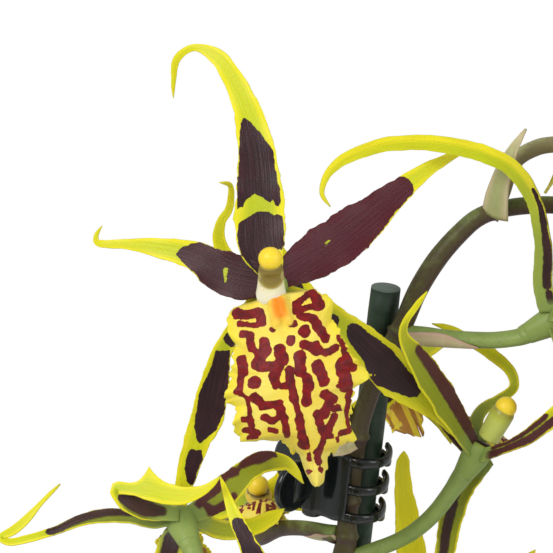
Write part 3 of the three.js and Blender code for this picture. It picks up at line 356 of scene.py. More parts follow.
def tepal_skin(add, space, reach, share, mark, back, warm, across, down, olive, stalk):
    """Waxy orchid tepal: crisp maroon-brown blotches on lime and yellow, satin, with fine long veins."""
    # Veins: 0.45 mm apart, each about 14 mm long. Their short form frays the blotches' edges.
    blade = add("CombineXYZ", {"X": across, "Y": down})
    long_way = add("Mapping", {"Vector": blade, "Scale": (1 / 0.45, 1 / 14.0, 1)})
    short_way = add("Mapping", {"Vector": blade, "Scale": (1 / 0.5, 1 / 3.0, 1)})
    veins = add("TexNoise", {"Vector": long_way, "Scale": 1.0})
    frays = add("TexNoise", {"Vector": short_way, "Scale": 1.0})
    # Ground: yellow-green at the foot, lime along the middle, bright yellow towards margins and tail.
    ground = add("ValToRGB", {"Fac": reach})
    set_stops(ground, (0.0, "#8b9a38"), (0.1, "#b3bd22"), (0.45, "#c3cd16"), (0.75, "#d6d51a"),
              (1.0, "#e8dc20"))
    rim = add("Math", {0: share}, SIZE_OF)
    thin = add("Math", {0: olive, 1: 0.62, 2: 0.35}, TIMES_PLUS)
    outer = add("MapRange", {"Value": rim, "From Min": thin, "From Max": 1.0}, SMOOTH)
    shaded = add("Mix", {0: olive, 6: ground, 7: "#6c7526"}, COLOURS, out=2)
    yellow = add("Mix", {0: outer, 6: shaded, 7: "#f3e322"}, COLOURS, out=2)
    lines = add("MapRange", {"Value": veins, "From Min": 0.35, "From Max": 0.75, "To Max": 0.22})
    green = add("Mix", {0: lines, 6: yellow, 7: "#a2b21a"}, COLOURS, out=2)
    less = add("Math", {0: back, 1: 0.25}, TIMES)
    plain = add("Mix", {0: less, 6: green, 7: "#97ad2e"}, COLOURS, out=2)
    # Blotches: mark is the depth inside a blotch in mm, wandering by half a millimetre.
    uneven = add("TexNoise", {"Vector": space, "Scale": per_mm(0.9), "Detail": 3.0})
    wander_1 = add("Math", {0: uneven, 1: 0.5, 2: mark}, TIMES_PLUS)
    wander_2 = add("Math", {0: frays, 1: 0.4, 2: wander_1}, TIMES_PLUS)
    faded = add("Math", {0: olive, 1: -0.5, 2: 0.37}, TIMES_PLUS)
    blotch = add("MapRange", {"Value": wander_2, "From Min": faded, "From Max": 0.53}, SMOOTH)
    clouds = add("TexNoise", {"Vector": space, "Scale": per_mm(5.0)})
    mottle = add("Math", {0: clouds, 1: veins}, {"operation": "ADD"})
    tones = add("MapRange", {"Value": mottle, "From Min": 0.7, "From Max": 1.3})
    maroon = add("Mix", {0: tones, 6: "#231418", 7: "#3a2026"}, COLOURS, out=2)
    ruddy = add("Mix", {0: warm, 6: maroon, 7: "#551823"}, COLOURS, out=2)
    reverse = add("Mix", {0: less, 6: ruddy, 7: "#5a3c34"}, COLOURS, out=2)
    dulled = add("Math", {0: olive, 1: 0.22}, TIMES)
    muddy = add("Mix", {0: dulled, 6: reverse, 7: "#6a5238"}, COLOURS, out=2)
    stem_green = add("Mix", {0: clouds, 6: "#7a9048", 7: "#97ab5c"}, COLOURS, out=2)
    footed = add("Mix", {0: stalk, 6: plain, 7: stem_green}, COLOURS, out=2)
    blade_colour = add("Mix", {0: blotch, 6: footed, 7: muddy}, COLOURS, out=2)
    merged = add("MapRange", {"Value": stalk, "From Min": 0.82, "From Max": 0.99}, SMOOTH)
    colour = add("Mix", {0: merged, 6: blade_colour, 7: stem_green}, COLOURS, out=2)
    # Cells under the wax: 0.3 mm, just enough to break the highlights.
    cells = add("TexNoise", {"Vector": space, "Scale": per_mm(0.3), "Detail": 1.0})
    relief = add("Math", {0: cells, 1: 0.4, 2: veins}, TIMES_PLUS)
    normal = add("Bump", {"Height": relief, "Distance": 0.1 * MM})
    return {
        "Base Color": colour, "Normal": normal, "Roughness": 0.42, "IOR": 1.42, "Specular IOR Level": 0.35,
        "Sheen Weight": 0.05, "Sheen Roughness": 0.4, "Subsurface Weight": 0.25,
        "Subsurface Scale": 2.2 * MM, "Subsurface Radius": (1.0, 0.6, 0.2)}


def lip_skin(add, space, mark, crest, rim, back):
    """Soft lip tissue: butter yellow with crisp oxblood spots, an orange crest, matt and velvety."""
    clouds = add("TexNoise", {"Vector": space, "Scale": per_mm(6.0)})
    tones = add("MapRange", {"Value": clouds, "From Min": 0.35, "From Max": 0.65})
    base = add("Mix", {0: tones, 6: "#f4d548", 7: "#f9e066"}, COLOURS, out=2)
    outer = add("MapRange", {"Value": rim, "From Min": 0.72, "From Max": 1.0}, SMOOTH)
    edged = add("Mix", {0: outer, 6: base, 7: "#fbe23c"}, COLOURS, out=2)
    # Spots: mark is the depth inside a spot in mm, wandering by half a millimetre.
    uneven = add("TexNoise", {"Vector": space, "Scale": per_mm(0.8), "Detail": 3.0})
    ragged = add("Math", {0: uneven, 1: 0.45, 2: mark}, TIMES_PLUS)
    spot = add("MapRange", {"Value": ragged, "From Min": 0.14, "From Max": 0.24}, SMOOTH)
    blots = add("TexNoise", {"Vector": space, "Scale": per_mm(1.6)})
    deep = add("MapRange", {"Value": blots, "From Min": 0.35, "From Max": 0.65})
    red = add("Mix", {0: deep, 6: "#600008", 7: "#86040b"}, COLOURS, out=2)
    faint = add("Mix", {0: back, 6: red, 7: "#b98a48"}, COLOURS, out=2)
    spotted = add("Mix", {0: spot, 6: edged, 7: faint}, COLOURS, out=2)
    low = add("MapRange", {"Value": crest, "From Min": 0.3, "From Max": 0.8}, SMOOTH)
    high = add("MapRange", {"Value": crest, "From Min": 1.0, "From Max": 1.75}, SMOOTH)
    ridge = add("Mix", {0: low, 6: spotted, 7: "#f9cf4c"}, COLOURS, out=2)
    colour = add("Mix", {0: high, 6: ridge, 7: "#f58f12"}, COLOURS, out=2)
    # Velvet: 0.5 mm papillae, drawn as coarse as the picture can show.
    nap = add("TexNoise", {"Vector": space, "Scale": per_mm(0.5)})
    normal = add("Bump", {"Height": nap, "Distance": 0.14 * MM})
    return {
        "Base Color": colour, "Normal": normal, "Roughness": 0.5, "Specular IOR Level": 0.3,
        "Sheen Weight": 0.06, "Sheen Roughness": 0.5, "Subsurface Weight": 0.3, "Subsurface Scale": 2.2 * MM,
        "Subsurface Radius": (1.0, 0.7, 0.25)}


def column_skin(add, space, zone, fresh):
    """Waxy column: cream foot with red specks, brown-green hollow, smooth egg-yellow cap."""
    ramp = add("ValToRGB", {"Fac": zone})
    set_stops(ramp, (0.0, "#f3efd4"), (0.3, "#e9e2b4"), (0.42, "#9c8a3c"), (0.55, "#7d6a2e"),
              (0.66, "#d3c25a"), (0.74, "#f3cb2c"), (1.0, "#fbd936"))
    dots = add("TexNoise", {"Vector": space, "Scale": per_mm(0.7)})
    speck = add("MapRange", {"Value": dots, "From Min": 0.66, "From Max": 0.72})
    low = add("MapRange", {"Value": zone, "From Min": 0.5, "From Max": 0.3})
    both = add("Math", {0: speck, 1: low}, TIMES)
    dotted = add("Mix", {0: both, 6: ramp, 7: "#a8452c"}, COLOURS, out=2)
    colour = add("Mix", {0: fresh, 6: dotted, 7: "#bcc54c"}, COLOURS, out=2)
    cells = add("TexNoise", {"Vector": space, "Scale": per_mm(0.6)})
    normal = add("Bump", {"Height": cells, "Distance": 0.05 * MM})
    return {
        "Base Color": colour, "Normal": normal, "Roughness": 0.38, "IOR": 1.42, "Subsurface Weight": 0.2,
        "Subsurface Scale": 1.2 * MM, "Subsurface Radius": (1.0, 0.7, 0.3)}


def stem_skin(add, space, flush, pale, bud):
    """Waxy flower stem: green flushed purple-brown, with painted shade below, finely speckled; bracts dry to
    papery straw and pink.
    """
    clouds = add("TexNoise", {"Vector": space, "Scale": per_mm(3.0), "Detail": 4.0})
    # Painted shade: where the surface faces down, the flush is made deeper and purpler.
    facing = add("NewGeometry", out="Normal")
    rise = add("SeparateXYZ", {"Vector": facing}, out="Z")
    below = add("Math", {0: rise, 1: -0.3, 2: flush}, TIMES_PLUS)
    amount = add("Math", {0: clouds, 1: 0.8, 2: below}, TIMES_PLUS)
    dark = add("MapRange", {"Value": amount, "From Min": 0.55, "From Max": 1.15}, SMOOTH)
    fresh = add("Mix", {0: clouds, 6: "#7a9048", 7: "#97ab5c"}, COLOURS, out=2)
    # Painted shade: purple where the surface faces down.
    under = add("MapRange", {"Value": rise, "From Min": 0.3, "From Max": -0.8}, SMOOTH)
    flushed = add("Mix", {0: under, 6: "#524a26", 7: "#523a3c"}, COLOURS, out=2)
    body = add("Mix", {0: dark, 6: fresh, 7: flushed}, COLOURS, out=2)
    # Specks of 0.45 mm, then papery fibres 1.2 mm apart and five times as long.
    dots = add("TexNoise", {"Vector": space, "Scale": per_mm(0.45)})
    strong = add("MapRange", {"Value": flush, "From Min": -0.3, "From Max": 0.4, "To Max": 0.42})
    speck = add("MapRange", {"Value": dots, "From Min": 0.54, "From Max": 0.7, "To Max": strong})
    dotted = add("Mix", {0: speck, 6: body, 7: "#3c2230"}, COLOURS, out=2)
    upright = add("Mapping", {"Vector": space, "Scale": (1, 1, 0.2)})
    fibre = add("TexNoise", {"Vector": upright, "Scale": per_mm(1.2), "Detail": 3.0})
    papery = add("Mix", {0: fibre, 6: "#d3c9a4", 7: "#bfae80"}, COLOURS, out=2)
    edge = add("MapRange", {"Value": pale, "From Min": 1.2, "From Max": 2.1})
    pink = add("Mix", {0: edge, 6: papery, 7: "#c39a8c"}, COLOURS, out=2)
    is_pale = add("MapRange", {"Value": pale, "From Min": 0.4, "From Max": 0.9})
    husk = add("Mix", {0: is_pale, 6: dotted, 7: pink}, COLOURS, out=2)
    budding = add("Mix", {0: clouds, 6: "#a6b13e", 7: "#6b5a34"}, COLOURS, out=2)
    colour = add("Mix", {0: bud, 6: husk, 7: budding}, COLOURS, out=2)
    normal = add("Bump", {"Height": fibre, "Distance": 0.12 * MM})
    return {
        "Base Color": colour, "Normal": normal, "Roughness": 0.45, "IOR": 1.42, "Subsurface Weight": 0.08,
        "Subsurface Scale": 1.0 * MM}


def leaf_skin(add, space, reach, share, back, across, down):
    """Satin strap leaf: mid green, paler along the keel and beneath, fine long veins, a yellowing tip."""
    # Veins 0.9 mm apart and 60 mm long.
    blade = add("CombineXYZ", {"X": across, "Y": down})
    long_way = add("Mapping", {"Vector": blade, "Scale": (1 / 0.9, 1 / 60.0, 1)})
    veins = add("TexNoise", {"Vector": long_way, "Scale": 1.0})
    clouds = add("TexNoise", {"Vector": space, "Scale": per_mm(22.0), "Detail": 3.0})
    tones = add("MapRange", {"Value": clouds, "From Min": 0.3, "From Max": 0.7})
    green = add("Mix", {0: tones, 6: "#3c6626", 7: "#4f7d30"}, COLOURS, out=2)
    lines = add("MapRange", {"Value": veins, "From Min": 0.4, "From Max": 0.7, "To Max": 0.5})
    veined = add("Mix", {0: lines, 6: green, 7: "#5d8a38"}, COLOURS, out=2)
    rim = add("Math", {0: share}, SIZE_OF)
    middle = add("MapRange", {"Value": rim, "From Min": 0.09, "From Max": 0.03, "To Max": 0.55})
    keel = add("Mix", {0: middle, 6: veined, 7: "#86a552"}, COLOURS, out=2)
    less = add("Math", {0: back, 1: 0.5}, TIMES)
    under = add("Mix", {0: less, 6: keel, 7: "#7d9a55"}, COLOURS, out=2)
    near = add("MapRange", {"Value": reach, "From Min": 0.16, "From Max": 0.0})
    foot = add("Mix", {0: near, 6: under, 7: "#a7b070"}, COLOURS, out=2)
    far = add("MapRange", {"Value": reach, "From Min": 0.96, "From Max": 1.0})
    colour = add("Mix", {0: far, 6: foot, 7: "#b79c4a"}, COLOURS, out=2)
    normal = add("Bump", {"Height": veins, "Distance": 0.25 * MM})
    return {
        "Base Color": colour, "Normal": normal, "Roughness": 0.36, "IOR": 1.45, "Subsurface Weight": 0.05,
        "Subsurface Scale": 1.0 * MM}


def bark_skin(add, space, tone):
    """Fir bark chips: red-brown to grey, matt, rough and cracked along the grain."""
    # Layers 2.5 mm thick, and cracks 1.3 mm apart.
    layers = add("TexNoise", {"Vector": space, "Scale": per_mm(2.5), "Detail": 5.0})
    cracks = add("TexNoise", {"Vector": space, "Scale": per_mm(1.3), "Detail": 6.0, "Roughness": 0.7})
    part = add("Math", {0: layers, 1: 0.35}, TIMES)
    mottle = add("Math", {0: tone, 1: 0.7, 2: part}, TIMES_PLUS)
    colour = add("ValToRGB", {"Fac": mottle})
    set_stops(colour, (0.1, "#33211a"), (0.4, "#5c3d2b"), (0.7, "#82593c"), (0.95, "#a5825f"))
    normal = add("Bump", {"Height": cracks, "Distance": 0.6 * MM})
    return {"Base Color": colour, "Normal": normal, "Roughness": 0.9, "IOR": 1.4}


def clouded_skin(name, shades, patch, roughness, fine, depth, stretch=(1, 1, 1), **shader):
    """A material of two shades clouded over patch mm, with a relief fine mm across and depth mm deep."""
    def looks_of(add, space):
        along = add("Mapping", {"Vector": space, "Scale": stretch})
        clouds = add("TexNoise", {"Vector": along, "Scale": per_mm(patch), "Detail": 3.0})
        tones = add("MapRange", {"Value": clouds, "From Min": 0.3, "From Max": 0.7})
        colour = add("Mix", {0: tones, 6: shades[0], 7: shades[1]}, COLOURS, out=2)
        wear = add("TexNoise", {"Vector": space, "Scale": per_mm(patch * 0.4)})
        rough = add("MapRange", {"Value": wear, "From Min": 0.3, "From Max": 0.7,
                                 "To Min": roughness * 0.88, "To Max": roughness * 1.12})
        texture = add("TexNoise", {"Vector": along, "Scale": per_mm(fine)})
        normal = add("Bump", {"Height": texture, "Distance": depth * MM})
        return {"Base Color": colour, "Normal": normal, "Roughness": rough, **shader}

    return new_material(name, looks_of)


SKINS = {
    "tepal": new_material("waxy_tepal_skin", tepal_skin, "reach", "share", "mark", "back", "warm",
                          "across", "down", "olive", "stalk"),
    "lip": new_material("velvet_lip_skin", lip_skin, "mark", "crest", "rim", "back"),
    "column": new_material("waxy_column_skin", column_skin, "zone", "fresh"),
    "stem": new_material("waxy_flower_stem", stem_skin, "flush", "pale", "bud"),
    "leaf": new_material("satin_strap_leaf", leaf_skin, "reach", "share", "back", "across", "down"),
    "bark": new_material("rough_fir_bark", bark_skin, "tone"),
    # Plastic-coated rod: deep green with a faint pebbled skin of 0.6 mm.
    "stake": clouded_skin("plastic_coated_rod", ("#1b2e20", "#2b4430"), 3.0, 0.5, 0.6, 0.08),
    # Its sawn end: grey-green, matt, with fine saw marks.
    "stake_end": clouded_skin("sawn_rod_end", ("#5d6b5f", "#76837a"), 1.4, 0.65, 0.5, 0.1, (0.3, 1, 1)),
    # Injection-moulded polycarbonate: near black with a green cast and a hard gloss.
    "clip": clouded_skin("moulded_polycarbonate", ("#0a0d0e", "#13191a"), 4.0, 0.18, 1.2, 0.03, IOR=1.58),
    # Drawn spring steel: bright, with faint draw marks.
    "steel": clouded_skin("drawn_spring_steel", ("#a2a4a6", "#b9bbbd"), 2.0, 0.28, 0.3, 0.02, Metallic=1.0),
    # Thermoformed polypropylene: clay brown, matt, a little cloudy.
    "pot": clouded_skin("thermoformed_polypropylene", ("#855540", "#946349"), 18.0, 0.58, 0.9, 0.08),
    # Pseudobulb: waxy green, streaked lighter along its length.
    "bulb": clouded_skin("waxy_pseudobulb", ("#6f8a3c", "#8aa150"), 9.0, 0.42, 1.6, 0.25, (1, 1, 0.18)),
    # Old leaf base: dry and papery, straw brown, with fibres 0.9 mm apart.
    "husk": clouded_skin("papery_dry_sheath", ("#b59a68", "#8c6c42"), 5.0, 0.75, 0.9, 0.3, (1, 1, 0.12)),
}


# The blooms, in the view plane. Heart is where the tepals meet, and face the way the bloom looks. Its
# pedicel runs from the stem via some points. Its column goes from one point to another. Up and roll set it
# upright, and what begins with lip does the same for its lip, and sets the lip's size, arch and drop.
BLOOMS = [
    {"heart": [-23, 0.5, 34], "face": [0, 0.05, 1], "lip_roll": 12, "lip_size": 0.93,
     "from": [-5.6, -29.5, -4.6], "via": [[-8, -25, -3], [-14, -13, 6], [-20, -3, 20]]},
    {"heart": [18.4, -33.2, 2], "face": [0.45, 0.88, 0.1], "lip_up": [0, 0, 1], "lip_size": 0.6,
     "lip_lift": 0.3, "column": [[20.5, -30.1, 4], [23.8, -24.4, 6.4]], "from": [-7.9, -54.8, -12.6],
     "via": [[-4, -53.2, -11], [1.5, -51.2, -10.4], [5.5, -49, -8], [9.6, -45.4, -5],
             [13.4, -40.4, -2]]},
    {"heart": [33.2, -6.8, 8], "face": [0.9, 0.42, 0], "from": [2.8, -9.4, 2.6],
     "via": [[7, -9.5, 3.4], [12, -10.2, 4.4], [17, -10.6, 5], [22, -10.7, 5.6],
             [27, -10, 6.4]]},
    {"heart": [-41, -46.8, 29], "face": [-0.3, 0.4, -0.85], "lip_face": [0, 0.4, -0.9],
     "lip_up": [-0.16, 0.88, 0.4], "lip_size": 0.45, "lip_lift": 0.3,
     "column": [[-42.2, -45.1, 25.2], [-42.4, -45.5, 22.2]], "from": [-9.5, -63.5, -15.8],
     "via": [[-16, -67, -8], [-28, -66, 12], [-35.6, -61, 27], [-38.4, -53.4, 34]]},
    {"heart": [-25.4, -42.6, -34], "face": [-0.1, 0.1, 1], "lip_face": [0, 1, -0.1],
     "lip_up": [0, -0.1, -1], "lip_size": 0.42, "lip_lift": 0.5, "lip_drop": 6,
     "column": [[-25.4, -42.1, -29.9], [-25.6, -39.9, -26.6]], "from": [-9.8, -49.6, -11],
     "via": [[-13, -48.8, -14], [-17, -48.2, -19], [-21, -48.4, -25], [-24.6, -50, -32.6],
             [-25.4, -49.6, -41.4]]},
    {"heart": [3, -18.6, -26], "face": [-0.31, 0.78, -0.54], "up": [-0.2, 0.5, 0.84], "lip_size": 0.58,
     "column": [[2.1, -16.2, -27.9], [0.9, -12.2, -30.6]], "from": [-1.4, -18.4, 0.8],
     "via": [[3.4, -18.6, -1.4], [5, -18.8, -9], [3.8, -18.8, -17]]},
    {"heart": [-22.5, -66, 40], "face": [-0.1, 0.1, 1], "from": [-11.3, -78, -20.8],
     "via": [[-13.4, -79, -10], [-17.5, -76, 8], [-21.5, -69, 26]]},
    {"heart": [6.4, -71, -45], "face": [0.15, 0.15, -1], "from": [-12.7, -92, -25.6],
     "via": [[-8, -90.4, -23.6], [-3, -87, -28], [2.4, -80, -35]]},
    {"heart": [50, 40, 17], "face": [0.35, 0.1, 0.9], "roll": -14, "from": [21.5, 15.4, 6],
     "via": [[23, 18.4, 9.4], [25.6, 25, 9], [30.2, 27.9, 6.6], [37, 29, 4], [43, 32, 5],
             [47, 36, 9]]},
    {"heart": [82, -21, 34], "face": [0.3, 0, 1], "roll": 4, "from": [54, 13.3, 3.6],
     "via": [[57.4, 8, 9], [64, -3, 17], [75, -14, 22]]},
]
# Tepals that show: how far in front foot and tip lie with the bow between them, the way the upper side
# looks, and rows of x, z and width in the view plane.
TEPAL_ROWS = {
    (1, "dorsal"): {"out": (34, 16, 2), "rows": [
        [-23, 3, 5], [-24.8, 8, 9.3], [-25.2, 13.5, 10.2], [-25.3, 19.4, 9.2], [-25.8, 26, 7.6],
        [-26.7, 31.5, 6.5], [-28.4, 37, 5], [-30.8, 42, 4], [-34, 46.2, 3.2], [-38.4, 47.9, 1.4],
        [-41.8, 45.6, 1.5], [-42.5, 41.6, 1], [-42.5, 37.8, 0.5]]},
    (1, "petalL"): {"out": (34, 22, 2), "rows": [
        [-24.5, 1, 6], [-29, 1.8, 8.8], [-32.8, 3.1, 8.6], [-36.8, 5.5, 6.4], [-41, 7, 5],
        [-46, 7.9, 3.8], [-52, 8.6, 2], [-57.5, 8.8, 1.4], [-58, 10.2, 0.9], [-56.8, 12.2, 0.6]]},
    (1, "petalR"): {"out": (34, 11, 1), "rows": [
        [-21.5, 1.5, 4], [-17, 4.5, 8], [-12, 7.6, 9.7], [-7, 11.1, 9.4], [-2, 15.2, 7], [3, 19.5, 4.8],
        [8, 23.3, 3], [12.4, 25.8, 1.8], [16, 27.5, 0.9]]},
    (1, "sepalL"): {"out": (32, 17, 2), "rows": [
        [-24.5, -0.5, 2.6], [-30, -8, 3.2], [-32.9, -13.5, 4], [-34.4, -20, 6], [-35.6, -25.4, 6.5],
        [-38, -31.5, 5.1], [-40, -38, 4], [-41, -43.5, 2.4], [-41.5, -47, 0.9]]},
    (1, "sepalR"): {"out": (32, 6, 0), "rows": [
        [-21.5, -0.5, 3], [-14, -3.5, 4], [-8.5, -7.8, 5.6], [-3.4, -12.6, 8], [2, -17.7, 8.6],
        [6.5, -21.8, 6], [10.6, -25.8, 2.6], [14, -30, 0.9]]},
    (2, "dorsal"): {"out": (2, 31, 3), "face": [0.3, 0.2, 1], "rows": [
        [18, -33, 4], [15.8, -29.5, 4.6], [13.4, -25.7, 5.8], [10.6, -21.2, 6.3], [8, -17.2, 6],
        [5.4, -13.2, 4.4], [3.4, -9.6, 2.2], [3.9, -7, 1.4], [6.2, -3.6, 1.2], [8.2, -1, 0.6]]},
    (2, "petalR"): {"out": (0.4, -3, -2), "rows": [
        [18.8, -31.4, 2.6], [17.9, -27.8, 2.8], [19.2, -24.6, 2.4], [22.4, -22.6, 2], [25.6, -20, 1.9],
        [24.8, -16.8, 2.1], [21, -13.3, 2.5], [17.5, -11.2, 2], [13.4, -8.6, 1.5], [9.2, -7.3, 0.6]]},
    (2, "petalL"): {"out": (1, -3, 1), "face": [0, 0.3, 1], "rows": [
        [18, -33.4, 4], [14.9, -30.4, 3.4], [11.6, -26.6, 3.4], [9.4, -24, 1.6]]},
    (2, "sepalR"): {"out": (4, 24, 2), "face": [0.1, 0.4, 0.9], "rows": [
        [19, -33.8, 3], [23.5, -32.3, 2.4], [28.5, -29.9, 3.2], [33.5, -26, 3.6], [37.4, -22.8, 3],
        [41.4, -21, 2], [45, -21.4, 0.9]]},
    (2, "sepalL"): {"out": (0, -14, -3), "face": [-0.2, 0, 1], "rows": [
        [20.6, -34.4, 3], [16.7, -37.8, 5], [14.4, -42, 4.8], [12.9, -47, 4.6], [11.8, -53, 4],
        [11.1, -60, 2.6], [12, -66, 0.9]]},
    (3, "dorsal"): {"out": (10, 23, 4),
        "face": [[-0.5, -0.1, 1], [-0.5, -0.2, 1], [0, -0.4, 1], [0.2, -0.3, 1]], "rows": [
        [32.4, -5, 3.6], [31.4, 1, 4.2], [31.6, 6.5, 3.8], [31, 12, 3.5], [29.8, 16.8, 3.3],
        [27.9, 20.6, 3.6], [24.6, 24.3, 3.6], [20.3, 26.4, 3.6], [14.5, 28, 3.5], [7.5, 28.9, 3.2],
        [0.5, 28.6, 3], [-5, 27.1, 2.7], [-9.2, 25, 2.2], [-11.8, 22.3, 1.5], [-12.8, 18.6, 0.9],
        [-11.1, 16, 0.6]]},
    (3, "petalL"): {"out": (11, 16, 9), "face": [0.3, 0.5, 1], "rows": [
        [33, -5.4, 4], [38, -3.4, 8], [45, -5, 8.4], [51.4, -9, 5.6], [55.6, -13.4, 3], [57.6, -18, 0.9]]},
    (3, "petalR"): {"out": (5, -28, -3), "face": [0.6, -0.4, 0.6], "rows": [
        [33, -5.4, 4], [37, 1, 8], [43, 6, 8.6], [50, 8.6, 5.6], [55, 10, 3], [58, 8, 0.9]]},
    (3, "sepalL"): {"out": (9, 12, 3), "face": [0.6, 0.4, 0.8], "rows": [
        [34, -8.4, 4], [36, -14, 5], [37.6, -23, 6.4], [38.6, -32, 5], [39.4, -40, 2.6], [39, -46, 0.9]]},
    (3, "sepalR"): {"out": (5, -34, 0), "face": [0.8, 0.3, 0.4], "rows": [
        [34, -8.4, 4], [34.6, -13.4, 5], [36.6, -20, 7], [39, -27, 6], [40.4, -33, 3], [41, -38, 0.9]]},
    (4, "dorsal"): {"out": (30, 24, -1), "face": [0, 0.6, 0.8], "rows": [
        [-41.5, -46.2, 3], [-46, -46.7, 3.8], [-51, -46, 3.3], [-56, -45.8, 3.2], [-61, -46.7, 2.7],
        [-66, -48.7, 1.9], [-71, -50.2, 1.8], [-75.5, -51, 1.6], [-77, -50.1, 1.4], [-74.5, -48.7, 2],
        [-72, -46.6, 1.8], [-69.2, -43.4, 1], [-65.2, -39.4, 0.6]]},
    (4, "petalL"): {"out": (31, 39, 1),
        "face": [[0, 0.6, 0.8], [0, 0.3, 1], [0, 0.3, 1], [0, 0.2, 1], [0, 0.2, 1]], "rows": [
        [-41.5, -45.6, 3], [-45.4, -45, 4], [-49, -44, 4.8], [-52, -42.4, 4.4], [-53.8, -40.4, 2.8],
        [-51, -40.4, 2.4], [-47.5, -40.8, 3.8], [-43.5, -41.6, 4], [-39.5, -41.6, 3.2],
        [-36.2, -40.4, 1.8], [-33, -37.8, 0.6]]},
    (4, "petalR"): {"out": (29, 16, 2), "face": [0, 0.5, 0.9], "rows": [
        [-40, -46, 3.4], [-36.2, -44, 5.2], [-33.5, -42, 6.8], [-31, -39.8, 6], [-28, -37, 5],
        [-25, -35.2, 4.8], [-22, -34.9, 4.4], [-19.4, -35.6, 2.8], [-16.5, -39.3, 0.6]]},
    (4, "sepalR"): {"out": (28.4, 18, 0), "face": [0, 0.4, 1], "rows": [
        [-40, -46.4, 2.6], [-37.2, -46.8, 3.8], [-34.2, -48.3, 4.1], [-30.8, -48.7, 4], [-26.7, -48, 3.7],
        [-23, -46.2, 3], [-20.4, -44.4, 0.9]]},
    (4, "sepalL"): {"out": (29, 20, 3), "face": [-0.3, 0, 1], "rows": [
        [-41, -47.4, 3.4], [-42.8, -51, 5], [-43.5, -55, 6], [-43.4, -61, 5.4], [-44.5, -68, 3.6],
        [-47, -75, 2], [-51, -79, 0.9]]},
    (5, "dorsal"): {"out": (-34, -40, 4), "rows": [
        [-25.2, -41.4, 3], [-21, -39.4, 4.4], [-17.6, -36, 6], [-15.6, -30, 7], [-16, -22, 5.4],
        [-18, -15, 2.6], [-20, -10, 0.9]]},
    (5, "petalL"): {"out": (-34, -60, 4), "rows": [
        [-26.5, -42, 4], [-31, -43.6, 4.4], [-36, -45, 4.4], [-41, -46.4, 3], [-46, -46.4, 2],
        [-50, -45.8, 0.9]]},
    (5, "petalR"): {"out": (-34, -66, 4), "rows": [
        [-24.4, -42.4, 3], [-19.4, -42, 5], [-14, -42, 6.4], [-8, -42, 4], [-4.4, -43, 1.8],
        [-3.6, -46, 0.9]]},
    (5, "sepalL"): {"out": (-34, -62, 2),
        "face": [[-0.3, 0.2, 1], [-0.3, 1, 0.2], [-0.3, 1, 0.2], [-1, 0.3, 0.2]], "rows": [
        [-27, -44.2, 3], [-30, -46.8, 4.6], [-34, -48, 6.4], [-38, -49.4, 6], [-39.8, -54, 4.6],
        [-39.4, -61, 2.4], [-38.6, -66, 0.9]]},
    (5, "sepalR"): {"out": (-34, -54, 0),
        "face": [[0.3, 0.2, 1], [0.3, 1, 0.2], [0.3, 1, 0.2], [1, 0.3, 0.2]], "rows": [
        [-23.8, -44.6, 3], [-21.4, -47.4, 4.6], [-17.6, -48.4, 6.4], [-13, -48.8, 6], [-9.4, -51, 4.6],
        [-8.6, -56, 2.4], [-9, -60, 0.9]]},
    (6, "petalL"): {"out": (-26, -8, -4), "rows": [
        [0.6, -19.4, 3], [-5, -16.6, 5], [-13, -10.4, 6.4], [-21, -4.6, 7], [-28, 1.4, 5],
        [-32.4, 6.8, 3], [-33.5, 10.4, 2.4], [-32.9, 13.1, 1.8], [-31.5, 15.4, 1.6], [-31, 18.1, 1.3],
        [-31.2, 20.4, 1], [-33.2, 20.9, 0.6]]},
    (6, "dorsal"): {"out": (-29, -26, -9), "rows": [
        [-0.4, -19, 3.4], [-6.4, -14, 5], [-13, -7.4, 7], [-19, -0.6, 7.6], [-24, 8, 6.4], [-25.6, 17, 4],
        [-25.8, 24, 2], [-26.4, 29, 0.9]]},
    (6, "petalR"): {"out": (-26, -42, 0), "face": [0, 1, 0.6], "rows": [
        [4.6, -17.4, 3], [7.2, -13.6, 3.8], [11, -11, 4], [15, -10.4, 3], [19.4, -10.4, 1.6],
        [22.4, -10.8, 0.9]]},
    (6, "sepalR"): {"out": (-25.6, -20, 3), "face": [0, 0.6, 1], "rows": [
        [4.2, -19.6, 3.4], [6, -21.4, 4], [8.4, -23.8, 4.2], [10.8, -26.6, 3], [12.2, -29, 2],
        [13, -31.4, 0.9]]},
    (6, "sepalL"): {"out": (-26, -26, 3), "rows": [
        [1.8, -20, 4], [-3, -24, 5.4], [-8.6, -28.6, 6.6], [-13.6, -33.4, 4.6], [-17.4, -38, 2],
        [-19.6, -42, 0.9]]},
    (7, "dorsal"): {"out": (40, 33, 2), "rows": [
        [-22.6, -64.6, 4], [-24, -59, 5], [-26, -54.6, 4.6], [-28, -50.6, 3.5], [-29.8, -46.8, 2.9],
        [-31.2, -43.4, 2], [-32.3, -40.2, 1.1], [-33.2, -37.8, 0.6]]},
    (7, "petalL"): {"out": (40, 26, 4), "rows": [
        [-23.6, -66, 4], [-30, -64, 8], [-37, -62.4, 9], [-46, -62, 6], [-55, -63, 3], [-61, -66, 0.9]]},
    (7, "petalR"): {"out": (40, 20, 4), "rows": [
        [-21.4, -66, 4], [-15, -63.6, 8], [-8, -61.4, 9], [1, -60, 6], [9, -61.4, 3], [14, -65, 0.9]]},
    (8, "dorsal"): {"out": (-45, -40, -4), "rows": [
        [6.2, -69.6, 4], [5.7, -62, 6.6], [4.9, -52, 5.8], [4.2, -46, 4.8], [3.6, -41, 3.7],
        [3.3, -37, 3], [3.6, -33, 2.2]]},
    (8, "petalR"): {"out": (-45, -60, 2), "rows": [
        [7.4, -70.6, 4], [14, -66.4, 8], [21, -61.6, 8], [26.6, -57, 4], [29.8, -52.6, 1]]},
    (8, "petalL"): {"out": (-45, -70, -4), "rows": [
        [5, -70.6, 4], [-2, -67, 8], [-9, -64.6, 8], [-18, -64, 5], [-26, -66, 2.6], [-31, -70, 0.9]]},
    (8, "sepalR"): {"out": (-45, -46, 0), "rows": [
